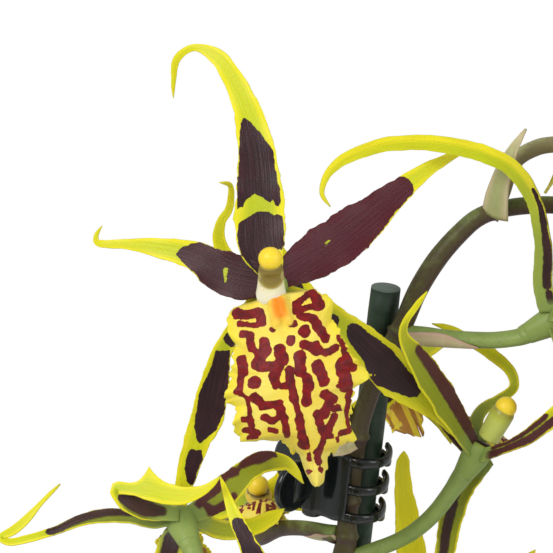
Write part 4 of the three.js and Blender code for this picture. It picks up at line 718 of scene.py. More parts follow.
        [5.6, -72.6, 4], [2, -80, 5.4], [-2, -90, 7.4], [-5, -100, 6], [-6, -109, 3], [-5, -115, 0.9]]},
    (9, "petalL"): {"out": (18, -6, 5), "face": [0.5, 0, 0.8], "rows": [
        [48.6, 40.4, 4], [45.4, 38.8, 6.6], [42, 35.6, 7], [39, 31.4, 5], [36.4, 26.6, 3.4],
        [33.8, 22, 2.6], [31.8, 18.8, 0.9]]},
    (9, "sepalL"): {"out": (18, 14, 2), "rows": [
        [49, 38, 4], [47.4, 32, 5.4], [45, 24, 7.2], [44, 15, 6.4], [44.6, 8, 3.6], [46.6, 3, 1.8],
        [50, 0.4, 0.9]]},
}

# The dark patches on the tepals. Outlines are in the view plane; strokes are in each tepal's own terms: the
# fraction of its length, then middle and half width as parts of its half width there.
PATCHES = {
    (1, "dorsal"): [
        [(-26.6, 1.6), (-27.4, 3.4), (-29.2, 6.6), (-29.9, 10.8), (-29.5, 12.8), (-27.8, 13.7),
         (-25.7, 15.1), (-23.7, 15.1), (-22.3, 14.2), (-21.9, 14.7), (-20.7, 14), (-20.1, 10.8),
         (-20.4, 7.3), (-21.6, 7.5), (-22.8, 1.6)],
        [(-28.6, 34), (-29.2, 32.1), (-29.4, 27.3), (-29.8, 21.1), (-29.8, 15.6), (-28.8, 15.9),
         (-28.1, 17.3), (-26.3, 18.6), (-24.7, 17.8), (-22.8, 16.7), (-22.5, 17.9), (-22.2, 16.3),
         (-21.5, 16), (-21, 17), (-21.2, 19.7), (-21.9, 22.5), (-22.6, 27.3), (-23.7, 29),
         (-25.4, 31.1), (-27.1, 33)],
    ],
    (1, "petalL"): [
        [(-38.3, 8.9), (-40.9, 7.9), (-42, 6.5), (-40.4, 4.6), (-38, 2), (-36, -2), (-34, -6),
         (-24, -6), (-22.5, 1.2), (-25.4, 6.7), (-30, 9), (-35.7, 9)],
    ],
    (1, "sepalL"): [
        [(-31.8, -9), (-29.8, -11.8), (-30.9, -12.1), (-32.2, -11.2), (-32.6, -10)],
        [(-34.1, -12.6), (-31.1, -12.6), (-31.2, -17.3), (-31.6, -20.5), (-31.6, -22.6), (-31.4, -24),
         (-32.9, -26.2), (-33.9, -28.7), (-35.6, -30), (-37.2, -31.3), (-37.9, -30.4), (-38.4, -27.7),
         (-37.9, -24.5), (-37.5, -21.6), (-36.4, -18.7), (-35.4, -17), (-34.8, -15.2)],
        [(-38.8, -32.3), (-36.8, -32.5), (-36.6, -34.1), (-37.2, -36.6), (-38.2, -39.1), (-39, -39.8),
         (-39.8, -38.7), (-40.3, -36.2), (-40, -34.1), (-39.3, -32.5)],
    ],
    (1, "sepalR"): [
        [(-10.6, -5), (-9.4, -5.9), (-9.6, -7.5), (-10.4, -8.3), (-11.4, -7.3), (-11.4, -5.9)],
        [(-7.9, -7.7), (-6.8, -7), (-5.2, -7.6), (-3.6, -8.9), (-1.3, -10.5), (1, -12.4), (3.3, -15.2),
         (6, -18.5), (6.9, -20.6), (6.2, -21.8), (4.5, -22), (1.4, -21), (-1.7, -19.7), (-3.4, -18.9),
         (-3.8, -18), (-1.8, -17.5), (-4, -17.2), (-4.4, -15.2), (-5.9, -12.9), (-7.5, -11),
         (-8.1, -9.2)],
    ],
    (4, "petalR"): [
        [(-33.4, -37.4), (-31.2, -36), (-29.3, -36.6), (-29.6, -37.8), (-31.4, -38.2), (-32.6, -39.4),
         (-33.4, -41.2), (-35.4, -42.6), (-37.2, -44.4), (-38.4, -43.6), (-36.6, -41.2), (-34.6, -39.2)],
        [(-29.4, -36), (-28.9, -34.6), (-26.6, -33.1), (-24.3, -32.2), (-22.4, -32.7), (-22, -34.1),
         (-23.6, -34.5), (-25.1, -35.4), (-27.4, -35.8), (-28.9, -36.4)],
        [(-36.6, -43.6), (-35.4, -45.9), (-33.8, -45.9), (-31.6, -44), (-29.8, -41.9), (-30.4, -41.2),
         (-32.6, -43), (-34.4, -44.2), (-36, -43)],
    ],
}
STROKES = {
    (1, "petalR"): [[0, 0, 1.1, 0.08, 0, 1.3], [0.08, 0, 1.3, 0.16, 0, 1.3],
                    [0.16, 0, 1.3, 0.3, 0, 1.2], [0.3, 0, 1.2, 0.64, 0, 1.1]],
    (2, "dorsal"): [[0.03, 0.6, 0.5, 0.3, 0.58, 0.5], [0.3, 0.58, 0.5, 0.64, 0.64, 0.4]],
    (2, "petalL"): [[0, 0, 0.9, 0.85, 0, 0.85]],
    (2, "sepalL"): [[0.08, 0.4, 0.45, 0.34, 0.4, 0.45], [0.36, 0.2, 0.4, 0.8, 0.1, 0.45]],
    (2, "sepalR"): [[0.06, 0.35, 0.5, 0.6, 0.4, 0.45], [0.1, -0.6, 0.25, 0.55, -0.6, 0.25]],
    (3, "dorsal"): [[0.03, 0.6, 0.4, 0.05, 0.6, 0.4], [0.075, 0.5, 0.5, 0.2, 0.5, 0.5],
                    [0.2, 0.5, 0.5, 0.33, 0.6, 0.25]],
    (4, "dorsal"): [[0.12, 0.6, 0.4, 0.24, 0.5, 0.5], [0.24, 0.5, 0.5, 0.36, 0.3, 0.7],
                    [0.36, 0.3, 0.7, 0.5, 0, 0.9]],
    (4, "petalL"): [[0.1, 0.1, 0.5, 0.2, 0, 0.7], [0.2, 0, 0.7, 0.33, 0, 0.6]],
    (4, "sepalL"): [[0.1, 0, 0.7, 0.5, 0, 0.75]],
    (5, "petalL"): [[0.5, 0, 0.6, 0.62, 0, 0.6]],
    (6, "petalL"): [[0.03, 0, 0.8, 0.35, 0, 0.7]],
    (7, "dorsal"): [[0, 0, 1.05, 0.4, 0, 1.05], [0.4, 0, 1.05, 0.62, 0, 0.85]],
    (9, "petalL"): [[0.03, 0, 0.8, 0.3, 0, 0.7]],
}
# Tepals without blotches.
PLAIN = [
    (2, "petalR"), (4, "sepalR"), (5, "dorsal"), (5, "petalR"),
    (6, "petalR"), (6, "sepalR"), (8, "dorsal"), (8, "petalR"),
]
# Streaks of ground colour left in a dark patch, as view-plane strokes.
STREAKS = {
    (1, "petalL"): [[-32, 3.4, 0.45, -32.1, 0.6, 0.2]],
    (1, "petalR"): [[-12.5, 8.1, 0.25, -11.5, 9.3, 0.2]],
}
# How far the blotches of a tepal lean to red.
WARM = {(1, "petalR"): 0.75, (1, "petalL"): 0.25, (2, "dorsal"): 0.5, (2, "sepalR"): 0.5, (4, "petalR"): 0.6}
# Tepals seen from behind are olive as far as this share of their length, by this much.
OLIVE = {
    (2, "dorsal"): (0.8, 0.75), (2, "petalR"): (0.5, 0.5), (2, "sepalR"): (0.6, 0.6),
    (2, "sepalL"): (0.8, 0.7), (2, "petalL"): (0.9, 0.6), (3, "dorsal"): (0.25, 0.35),
    (4, "dorsal"): (0.5, 0.85), (4, "petalL"): (0.34, 0.9), (4, "petalR"): (0.8, 0.75),
    (4, "sepalR"): (0.6, 0.35), (4, "sepalL"): (0.6, 0.5),
}
# A tepal lit along one margin has its yellow rim moved to that side, as painted light. Some feet stay green
# for this many mm.
LIT_MARGIN_LEAN = {(3, "dorsal"): 0.45}
GREEN_FOOT = {
    (2, "petalR"): 14, (3, "dorsal"): 34, (2, "dorsal"): 9, (2, "petalL"): 12, (4, "dorsal"): 12,
    (4, "sepalL"): 6,
}
# Tepals that lie in shade behind the others, painted as golden at the foot as at the tail: painted light
# that brightens them.
BRIGHTENED_IN_SHADE = {(8, "dorsal"), (5, "petalR"), (5, "dorsal"), (8, "petalR")}
# A corner of a margin that stands out: where it is in the view plane, which side, and how far.
CORNERS = {(4, "petalL"): (-48.4, -40.6, -1, 2.9)}

# The front lip's outline, as half widths left and right of its axis at distances down from the crest, seen
# in the view plane. Other lips follow it at their own size.
LIP_LEFT = [
    (-1.8, 2), (-1, 9.6), (-0.4, 10.3), (3.2, 10.9), (5.7, 10), (9.5, 11.4), (14.5, 13.3), (15.6, 14.6),
    (16.7, 14.4), (18.1, 12.2), (21.2, 13.9), (25, 13.1), (25.6, 9.4), (26.4, 5.4), (30.3, 2.1),
    (34.5, 1.4), (36.4, 0.9), (37, 0.2),
]
LIP_RIGHT = [
    (-1.8, 2), (-1.4, 8), (0.65, 10.3), (2.15, 10.6), (4, 9.8), (8.4, 10.9), (12.4, 11.8), (15.3, 13.6),
    (16.8, 14.7), (18.5, 13.9), (19.3, 11.1), (22.9, 10), (25.6, 9), (29, 9.3), (29.7, 8.3), (30.3, 4.7),
    (32.6, 2.9), (34.3, 2.7), (36.2, 1.2), (37, 0.2),
]
LIP_START, LIP_END, LIP_MIDDLE = -1.8, 37, 15.0
LIP_CREST = np.array([-21.5, -3.6])
LIP_TURN = math.radians(12.0)
LIP_RIGHTWARD = np.array([math.cos(LIP_TURN), math.sin(LIP_TURN)])
LIP_DOWNWARD = np.array([math.sin(LIP_TURN), -math.cos(LIP_TURN)])
# How much larger the front lip shows by standing nearer than the stake's top.
LIP_GROWN = 1.07
# Lips whose tongue is turned under, so that they end square.
BLUNT_LIPS = {6}
BLUNT_END = 25.4
# The front lip's spots, as view-plane strokes x1, z1, x2, z2 and radius.
SPOTS = [
    [-29.8, -5.6, -25.4, -5.3, 1.05], [-29.4, -7.5, -25.6, -7.7, 0.55], [-25, -5.2, -24.7, -7.3, 0.9],
    [-28.6, -9.5, -27, -9.6, 0.75], [-27.1, -10.6, -26.6, -12.4, 0.8], [-24.3, -10.8, -23.9, -13.2, 1],
    [-27, -11.8, -25.2, -13.6, 0.7], [-24.2, -13.4, -26, -15.6, 1], [-25.6, -15.8, -21.5, -16, 1],
    [-21.5, -16.2, -22.6, -18, 0.9], [-22.6, -17.5, -21.9, -19.6, 0.8],
    [-21.3, -12.7, -20.8, -14.6, 1.3], [-26, -19, -26, -19.1, 1.3], [-19, -10.7, -19, -10.8, 1.1],
    [-16.5, -8.9, -16.4, -8.9, 1.25], [-16.3, -11.6, -13.6, -12.7, 1], [-14.2, -12, -13.8, -12.9, 1.05],
    [-12.4, -13.4, -10.2, -12.2, 0.8], [-17.2, -14.1, -17.1, -16.8, 1.2], [-16, -18, -15.4, -20, 1],
    [-16, -20, -15.8, -23, 0.8], [-13.9, -15.8, -12.5, -18.7, 1.15], [-19.3, -16.8, -19, -19.8, 1.05],
    [-20.6, -19.8, -18.8, -19.8, 0.7], [-19, -20, -18.2, -22.4, 0.95], [-18.2, -22.4, -17.4, -26, 0.8],
    [-17.4, -26, -16.3, -31.3, 1], [-19, -22.2, -19, -22.3, 0.6], [-26.2, -21.8, -24.6, -23.6, 0.9],
    [-24.6, -23.8, -21.4, -23.2, 0.8], [-21.6, -23.4, -20.3, -26, 1], [-20.3, -26, -19.8, -29.2, 0.75],
    [-24.2, -26, -22.4, -26.6, 0.7], [-22.6, -26.4, -20.4, -25.6, 0.6],
    [-23.2, -28.2, -21.8, -28.8, 0.5], [-12.4, -21.4, -10.8, -22.4, 1], [-11.4, -23, -12.6, -25, 1.1],
    [-13.8, -25.4, -13.4, -27, 0.9], [-10.4, -24.4, -9.6, -24, 0.6], [-10.6, -26, -11.8, -28.6, 0.8],
    [-13.2, -28, -12.4, -29.8, 0.8], [-11, -29.6, -12.6, -30, 0.5], [-12.6, -31, -13.8, -33, 0.75],
    [-13.8, -33, -13.7, -35, 0.65], [-13.4, -36.4, -13.4, -36.5, 0.5], [-18.4, -3.6, -15.4, -1.7, 0.75],
    [-18.4, -4.8, -13, -3.8, 0.7], [-14.6, -1.5, -13.3, -3.4, 0.9], [-17.4, -6, -14.4, -6.4, 0.7],
    [-14.6, -6.6, -12.4, -10.2, 1], [-9.4, -10, -8.2, -12.6, 0.5], [-8.4, -13, -6.8, -16, 0.8],
    [-8.8, -15.6, -8, -19.6, 1.35], [-9.6, -19.6, -7, -20.4, 0.5], [-7.5, -21.4, -8, -25, 0.6],
    [-8, -25, -7.6, -28.6, 0.5], [-9, -29.2, -7.6, -28.6, 0.5], [-9.8, -30.2, -9.8, -30.3, 0.5],
    [-28.8, -14.6, -28.5, -17, 1], [-28.7, -17, -29.1, -20.2, 0.75], [-30, -20.8, -27.6, -22.2, 0.4],
    [-27.8, -22.4, -27, -25, 0.5], [-28.6, -26.2, -26.6, -26.6, 0.4], [-27.2, -25, -26.8, -28.4, 0.5],
    [-15.3, -33.2, -15.1, -34.4, 0.35], [-15.4, -36.8, -15.2, -37.1, 0.35],
    [-28.2, -28.4, -25.6, -29, 0.6], [-27.4, -30, -26, -29.8, 0.5], [-22.6, -8.4, -22.6, -8.5, 0.6],
    [-18.6, -7.4, -18.6, -7.5, 0.6],
]

# The tepals that no view shows take this form, in the bloom's own axes: right, up, forward and width.
TEPALS = {
    "dorsal": [[0, 1, -0.4, 4], [0, 7, 0.2, 8], [0, 16, 1.8, 9], [0, 27, 1, 7.6], [0.5, 38, -4, 4.4],
               [1, 45, -11, 2], [1, 48, -19, 0.9]],
    "petalR": [[1, 1, -0.4, 4], [7, 4, 0.6, 8], [15, 9, 2, 9], [24, 14, 0, 6.4], [32, 18, -5, 3.4],
               [37, 19, -12, 1.6], [39, 17, -18, 0.9]],
    "sepalR": [[1, -1, -0.4, 4], [5, -8, -0.6, 5.4], [10, -18, 0, 7.6], [14, -28, -2, 6.8],
               [17, -38, -7, 4], [19, -44, -14, 2], [19, -46, -21, 0.9]],
}
TEPALS["petalL"] = [[-r, u, f, w] for r, u, f, w in TEPALS["petalR"]]
TEPALS["sepalL"] = [[-r, u, f, w] for r, u, f, w in TEPALS["sepalR"]]
# The hub's radii from back to front, how far it bulges, and how deep it is. The pedicel's radii.
HUB = {"radii": [2.1, 2.4, 2.8, 2.9, 2.6, 1.9], "front": 2.4, "depth": 5.5}
PEDICEL = [1.6, 1.6, 1.7, 2.2]
# Blooms that are drawn finely, whose tepals have green feet, and that turn their backs to the viewer.
NEAR_BLOOMS = (1, 2, 3, 4, 7)
GREEN_FOOTED = (2, 3, 4)
TURNED_AWAY = (2, 4, 6)
# One bloom stands open in front, one's bract lies long under its pedicel, one's column is yellow but for
# its hollow, and one's joint has a dry sheath and a large bract that is added on its own.
FRONT, LONG_BRACT, YELLOW_COLUMN, SHEATHED = 1, 3, 5, 9


def sway_from(seed):
    """The same repeatable numbers between -1 and 1 that set the hidden tepals' lines in the solids."""
    factor, limit = 16807, 2147483647
    state = seed * 7919 + 17
    while True:
        state = (state * factor) % limit
        yield state / limit * 2 - 1


class Bloom:
    """One bloom's heart, axes and pedicel line, worked out from its row."""

    def __init__(self, spec, number):
        self.spec, self.number = spec, number
        self.heart = place(*spec["heart"])
        self.axes = self.axes_of(spec["face"], spec.get("up"), spec.get("roll", 0))
        self.path = [place(*p) for p in [spec["from"], *spec["via"]]]
        self.arrival = unit(self.heart - self.path[-1])
        self.back = self.heart - self.arrival * HUB["depth"]
        self.sway = sway_from(number + 3)

    @staticmethod
    def axes_of(face, top=None, roll=0):
        f = unit(direction(*face))
        up = direction(*(top or [0, 1, 0]))
        up = turned(unit(up - f * (up @ f)), f, roll)
        return np.cross(up, f), up, f

    def at(self, r, u, f, axes=None):
        parts = [np.multiply.outer(much, axis) for much, axis in zip((r, u, f), axes or self.axes)]
        return self.heart + parts[0] + parts[1] + parts[2]

    def stations(self, name):
        given = TEPAL_ROWS.get((self.number, name))
        if given:
            rows = np.array(given["rows"], float)
            t = np.linspace(0, 1, len(rows))
            foot, tip, bow = given["out"]
            out = foot + (tip - foot) * t + bow * np.sin(np.pi * t)
            look = given.get("face", [0, 0, 1])
            if isinstance(look[0], list):
                look = np.stack([level([v[k] for v in look], t) for k in range(3)], 1)
                faces = unit(direction(look[:, 0], look[:, 1], look[:, 2]))
            else:
                faces = np.tile(unit(direction(*look)), (len(rows), 1))
            return place(rows[:, 0], rows[:, 1], out), rows[:, 2] * (1 - out / VIEW["distance"]), faces
        at, width = [], []
        for i, (r, u, f, w) in enumerate(TEPALS[name]):
            k = 0 if i < 2 else i - 1
            a, b, c = next(self.sway), next(self.sway), next(self.sway)
            at.append(self.at(r + k * 0.7 * a, u + k * 0.7 * b, f + k * 0.5 * c))
            width.append(w * 0.95)
        return np.array(at), np.array(width), np.tile(self.axes[2], (len(at), 1))


def usual_strokes(seed):
    """Blotches of a tepal that no close view shows: large near the heart, smaller and fewer outwards."""
    random = np.random.default_rng(seed)
    strokes, spot = [], 0.03
    while spot < 0.62:
        long = random.uniform(0.05, 0.1)
        wide = random.uniform(0.6, 0.85) * (1 - 0.5 * spot)
        start, end = random.uniform(-0.15, 0.15), random.uniform(-0.15, 0.15)
        strokes.append([spot, start, wide, spot + long, end, wide])
        spot += long + random.uniform(0.05, 0.09)
    return strokes


def tepal_mark(key, seed, middle, arc, width, half, share):
    """How deep each point of a tepal lies inside its blotches, none of which reaches the margin's edge."""
    reach = arc / arc[-1]
    if key in PATCHES:
        spots = seen_at(middle)
        mark = np.max([patch_depth(spots, corners) for corners in PATCHES[key]], axis=0)
        gap = np.interp(reach, [0.12, 0.3], [-0.5, 0.1])[:, None] if "petal" in key[1] else 0.1
    else:
        mark = np.full(middle.shape[:2], -9.0)
        own = np.stack([np.broadcast_to(arc[:, None], half.shape), half * share], -1)
        strokes = [] if key in PLAIN else STROKES.get(key) or usual_strokes(seed)
        for r1, c1, h1, r2, c2, h2 in strokes:
            w1, w2 = (np.interp(r, reach, width) / 2 for r in (r1, r2))
            stroke = [r1 * arc[-1], c1 * w1, h1 * w1, r2 * arc[-1], c2 * w2, h2 * w2]
            mark = np.maximum(mark, stroke_depth(own, [stroke]))
        gap = 0.15
        if key == (FRONT, "petalR"):
            gap = np.where(share < 0, -0.5, np.interp(reach, [0.2, 0.45], [-0.5, 0.15])[:, None])
    mark = np.minimum(mark, half * (1 - np.abs(share)) - gap)
    for streak in STREAKS.get(key, []):
        mark = np.minimum(mark, -stroke_depth(seen_at(middle), [streak]))
    return np.clip(mark, -3, 3)


def add_tepal(skin, bloom, name):
    key = (bloom.number, name)
    at, widths, faces = bloom.stations(name)
    near = bloom.number in NEAR_BLOOMS
    length = arc_of(smooth_line(at, np.linspace(0, 1, 80)))[-1]
    rows, columns = int(np.clip(length / (0.55 if near else 1.0), 24, 170)), 25 if near else 13
    ts = np.linspace(0, 1, rows)
    line = smooth_line(at, ts)
    arc = arc_of(line)
    reach = arc / arc[-1]
    width = np.maximum(smooth_line(widths, ts)[:, 0], 0.5)
    width *= np.sqrt(np.clip((arc[-1] - arc) / 2.2 + 0.04, 0, 1))
    face = unit(smooth_line(faces, ts))
    way = slope_of(line)
    side = unit(np.cross(way, face))
    up = np.cross(side, way)
    share = np.sin(np.linspace(-0.5, 0.5, columns) * np.pi) * 0.55 + np.linspace(-1, 1, columns) * 0.45
    half = width[:, None] / 2
    seed = bloom.number * 7 + len(name)
    slow, quick = (wander(seed + k, arc[:, None], scale)[:, None] for k, scale in enumerate((5.0, 1.7)))
    half = half * (1 + 0.035 * slow * np.sign(share) + 0.02 * quick)
    if key in CORNERS:
        x, z, on, far = CORNERS[key]
        off = arc - arc[np.linalg.norm(seen_at(line) - [x, z], axis=1).argmin()]
        corner = far * np.exp(-np.abs(off) / np.where(off < 0, 0.8, 1.9))[:, None]
        half = half + np.where(share * on > 0, corner, 0)
    beat = np.sin(arc[:, None] * 2 * np.pi / 9.0 + seed + np.sign(share) * 1.3)
    lift = width[:, None] * (0.06 * share**2 + 0.035 * beat * np.abs(share) ** 3)
    across = half * share
    middle = off_line(line, side, across, up, lift)
    mark = tepal_mark(key, seed, middle, arc, width, half, share)
    far, amount = OLIVE.get(key, (1, 0))
    olive = np.interp(reach, [0, far * 0.8, far * 1.1], [amount, amount, 0])[:, None]
    stalk = np.interp(arc, [0.5, 3.5, GREEN_FOOT.get(key, 6)], [1, 0.8, 0])[:, None]
    stalk = stalk if bloom.number in GREEN_FOOTED else 0 * stalk
    # Painted light: a shaded tepal's foot gets the bright ground of its tail.
    reach = 0.8 + 0.2 * reach if key in BRIGHTENED_IN_SHADE else reach
    # Painted light: the yellow rim is moved towards the lit margin.
    lit_margin_share = np.clip(share + LIT_MARGIN_LEAN.get(key, 0), -1, 1)
    thick = 0.3 + 0.35 * (1 - share**2)
    add_sheet(skin, middle, up[:, None], thick, across=across, down=arc[:, None], mark=mark,
              reach=reach[:, None], share=lit_margin_share, warm=WARM.get(key, 0.0), olive=olive, stalk=stalk)


def add_hub(skin, bloom):
    """The middle that the tepals grow from, narrowing behind to the pedicel."""
    right, _, face = bloom.axes
    facing = face if face @ bloom.arrival > 0 else -face
    turn = turns(20)
    ts = np.linspace(0, 1, 14)
    rings = []
    for t in ts:
        radius = np.interp(t, [0, 0.3, 0.62, 0.85, 0.97, 1], HUB["radii"])
        centre = bloom.back + (bloom.heart - bloom.back) * t + face * HUB["front"] * t**3
        way = unit(bloom.arrival * (1 - t**2) + facing * t**2)
        side = unit(right - way * (right @ way))
        ribs = radius * (1 + 0.04 * np.cos(3 * turn))
        rings.append(loop_at(centre, turn, ribs, side, np.cross(way, side)))
    dark = np.interp(ts, [0, 0.88, 1], [-3, -3, 1])
    stalk = np.interp(ts, [0, 0.85, 1], [1, 0.98, 0.7])
    add_rings(skin, np.array(rings), mark=dark, reach=0.15, share=0.2, across=0.5,
              down=np.linspace(0, 8, 14), back=0.4, stalk=stalk)


def lip_strokes():
    """The spots in the lip's own terms: right of its middle line and down from its crest."""
    strokes = []
    for x1, z1, x2, z2, radius in SPOTS:
        line = []
        for end in ([x1, z1], [x2, z2]):
            off = np.array(end) - LIP_CREST
            line += [off @ LIP_RIGHTWARD, off @ LIP_DOWNWARD, radius]
        strokes.append(line)
    return strokes


def add_lip(skin, bloom):
    spec = bloom.spec
    front = bloom.number == FRONT
    size, lift, drop = spec.get("lip_size", 1.0), spec.get("lip_lift", 1.0), spec.get("lip_drop", 0.0)
    rows, columns = (150, 91) if front else (70, 41)
    down = np.linspace(LIP_START, LIP_END, rows)
    share = np.linspace(-1, 1, columns)
    share = np.sign(share) * (1 - (1 - np.abs(share)) ** 1.25)
    left, right = (np.interp(down, *zip(*side)) for side in (LIP_LEFT, LIP_RIGHT))
    half = np.where(share < 0, left[:, None], right[:, None])
    rim = np.abs(share) * np.ones((rows, 1))
    spot = np.stack([half * share, np.broadcast_to(down[:, None], half.shape)], -1)
    outward = unit(spot - np.array([0, LIP_MIDDLE]))
    turn = np.arctan2(spot[..., 0], spot[..., 1] - LIP_MIDDLE)
    edge = rim**7
    teeth = 0.2 * np.sin(turn * 47) + 0.24 * np.sin(turn * 23 + 1.0) + 0.12 * np.sin(turn * 83 + 2.0)
    teeth = teeth * np.interp(down, [26, 32], [1, 2.4])[:, None]
    spot = spot + outward * (edge * teeth * np.clip(half / 2.5, 0, 1))[..., None]
    t = np.clip(down[:, None] / LIP_END, 0, 1)
    if bloom.number in BLUNT_LIPS:
        spot[..., 1] = np.minimum(spot[..., 1], BLUNT_END + (spot[..., 1] - BLUNT_END) * 0.15)
    arch = 3.2 + 5 * np.sin(np.pi * np.minimum(t * 1.15, 1)) - 4.4 * share**2 - 5 * t**2
    frill = 0.8 * np.sin(turn * 15 + 0.5) + 0.3 * np.sin(turn * 31)
    arch = arch + rim**4 * frill * np.clip(half / 6, 0, 1)
    arch = arch + 0.35 * wander(4, spot, 11.0)
    x, y = spot[..., 0], spot[..., 1]
    body = np.exp(-((x / 1.9) ** 4) - ((y - 0.4) / 2.5) ** 4)
    lobes = sum(np.exp(-(((x - c) / 0.8) ** 2) - ((y - 3.4) / 1.2) ** 2) for c in (-1.35, 1.35))
    arch = arch + 1.7 * body + 1.2 * lobes - 0.3 * np.exp(-((x / 0.6) ** 2)) * body
    arch = arch - 0.8 * np.exp(-((share / 0.1) ** 2)) * np.sin(np.pi * t)
    crest = np.clip(body + lobes, 0, 1) + np.exp(-((x / 1.5) ** 2) - ((y - 0.4) / 2.6) ** 4)
    mark = spot_depth(spot, lip_strokes())
    if front:
        seen = LIP_CREST + spot[..., :1] * LIP_RIGHTWARD + spot[..., 1:] * LIP_DOWNWARD
        middle = place(seen[..., 0], seen[..., 1], spec["heart"][2] + 2 + arch)
        face = OUT
    else:
        look, top = spec.get("lip_face", spec["face"]), spec.get("lip_up", spec.get("up"))
        axes = bloom.axes_of(look, top, spec.get("roll", 0) + spec.get("lip_roll", 0))
        small = size / LIP_GROWN
        rightwards, upwards = 1.5 * (1 - t) + x * small, -4.2 - y * small
        middle = bloom.at(rightwards, upwards, 2 - drop + lift * arch, axes)
        face = axes[2]
    thick = 0.35 + 0.3 * (1 - rim**3)
    add_sheet(skin, middle, face, thick, mark=np.clip(mark, -3, 3), crest=crest, rim=rim)


def add_column(skin, bloom):
    """A stout post with a hollow under its top, small ears beside it, and a rounded cap."""
    _, up, face = bloom.axes
    given = bloom.spec.get("column")
    open_front = bloom.number not in TURNED_AWAY
    if given:
        foot, cap = place(*given[0]), place(*given[1])
        points = [foot, foot + (cap - foot) * 0.5, foot + (cap - foot) * 0.8, cap]
    else:
        foot, cap = bloom.at(0, -2.8, 3.2), bloom.at(-0.1, 4.1, 8.8)
        points = [foot, bloom.at(0, -0.8, 5.0), bloom.at(0, 1.8, 7.0), bloom.at(-0.1, 3.6, 8.3)]
    ts = np.linspace(0, 1, 26)
    line = smooth_line(points, ts)
    way = slope_of(line)
    under = unit(face * 0.75 - up * 0.65)
    turn = turns(28)
    radii = [2.5, 2.7, 2.35, 2.2, 1.8] if open_front else [2.2, 2.3, 2.4, 2.4, 2.1]
    rings, zones = [], []
    for t, centre, tangent in zip(ts, line, way):
        side = unit(np.cross(tangent, under))
        front = np.cross(side, tangent)
        radius = np.interp(t, [0, 0.15, 0.45, 0.8, 1], radii)
        facing = np.clip(np.cos(turn), 0, 1)
        hollow = np.exp(-(((t - 0.62) / 0.16) ** 2)) * facing**1.5 * open_front
        rings.append(loop_at(centre, turn, radius * (1 - 0.4 * hollow), front, side * 1.06))
        plain = np.interp(t, [0, 0.35, 0.55, 0.8, 1], [0.0, 0.05, 0.36, 0.48, 0.62])
        plain = max(plain, 0.72) if bloom.number == YELLOW_COLUMN else plain
        zones.append(plain + (0.52 - plain) * np.clip(hollow * 1.8, 0, 1))
    fresh = 0.0 if open_front else np.interp(ts, [0.6, 1], [0.9, 0.3])
    add_rings(skin, np.array(rings), zone=np.array(zones), fresh=fresh)
    tangent = way[-1]
    side = unit(np.cross(tangent, under))
    frame_axes = [side, np.cross(side, tangent), tangent]
    add_round(skin, cap + tangent * 0.4, frame_axes, (2.25, 2.15, 2.15), sides=32, rows=20, zone=1.0)
    for left_or_right in (-1, 1) if open_front else ():
        ear = line[16] + side * left_or_right * 1.95 + frame_axes[1] * 0.5
        add_round(skin, ear, frame_axes, (0.45, 0.6, 1.4), zone=0.4)


def dress_bloom(bloom):
    stem = f"bloom_{bloom.number}"
    skin = Skin("across", "down", "mark", "reach", "share", "warm", "back", "olive", "stalk")
    add_hub(skin, bloom)
    for name in ("dorsal", "petalL", "petalR", "sepalL", "sepalR"):
        add_tepal(skin, bloom, name)
    skin.piece(f"{stem}_tepal_skin", SKINS["tepal"], "tepal", [f"{stem}_sepals_petals"])
    skin = Skin("mark", "crest", "rim", "back")
    add_lip(skin, bloom)
    skin.piece(f"{stem}_lip_skin", SKINS["lip"], "lip", [f"{stem}_lip"])
    skin = Skin("zone", "fresh")
    add_column(skin, bloom)
    skin.piece(f"{stem}_column_skin", SKINS["column"], "column", [f"{stem}_column"])


blooms = [Bloom(spec, k) for k, spec in enumerate(BLOOMS, 1)]
for bloom in blooms:
    dress_bloom(bloom)


# The flower spike: the arching stem, its pedicels and bracts, and the last buds.
STEM_ROWS = [
    (-8.1, -51.6, -11.5), (-7.6, -45, -9.4), (-6.6, -36, -6.3), (-5.6, -29, -3.7), (-4.2, -24, -1.9),
    (-2, -18, 0.2), (1, -12, 1.6), (3.4, -7.5, 2.5), (6.2, -1, 4), (9, 3.8, 5), (11.5, 7.2, 5.5),
    (14.8, 10.8, 6), (18, 13.6, 6), (21.5, 15.2, 6), (25.5, 16, 6), (30, 16.4, 6), (33.4, 16.4, 6),
    (40, 16, 6), (48, 14.6, 5), (57, 12.4, 3), (66, 9.8, 1), (73, 7.4, 0),
]
STEM_RADII = [2.6, 2, 2, 2, 2, 1.75, 1.75, 1.2]
FLUSH = {1: 0.6, 2: 0.02, 3: 0.3, 4: 0.1, 5: 0.65, 6: 0.45, 7: 0.6, 8: 0.4, 9: 0.85, 10: 0.6}
BUDS = [
    ((50, 14.2, 4.6), (59, 22, 8), 3.6),
    ((60, 11.6, 2.4), (68, 3, 6), 3.1),
    ((72, 7.8, 0.2), (81, 5, -1), 2.5),
]
AXIS = unit(STAKE_TOP - STAKE_FOOT)


def add_stem(skin):
    upper = [place(*row) for row in STEM_ROWS]
    lower = [upper[0] - AXIS * drop for drop in (300, 240, 170, 100, 40)]
    points = [np.array([-12.5, 13.5, 72.2])] + lower + upper
    ts = np.linspace(0, 1, 520)
    line = smooth_line(points, ts)
    radii = level(STEM_RADII, ts)
    joints = [bloom.path[0] for bloom in blooms] + [line[k] for k in (55, 95, 140)]
    swell, sheath = np.zeros(len(ts)), np.zeros(len(ts))
    for joint in joints:
        gap = np.linalg.norm(line - joint, axis=1)
        gap = np.abs(np.arange(len(ts)) - gap.argmin()) * arc_of(line)[-1] / len(ts)
        swell = np.maximum(swell, 0.42 * np.exp(-((gap / 1.5) ** 2)) + 0.2 * np.exp(-((gap / 5) ** 2)))
        if joint is joints[SHEATHED - 1]:
            sheath = 0.62 * np.exp(-((gap / 2.8) ** 4))
    pale = np.maximum(0.25 * swell, sheath)
    add_rings(skin, tube_rings(line, radii + swell, 24), flush=0.76 + 0.15 * swell, pale=pale, bud=0.0)


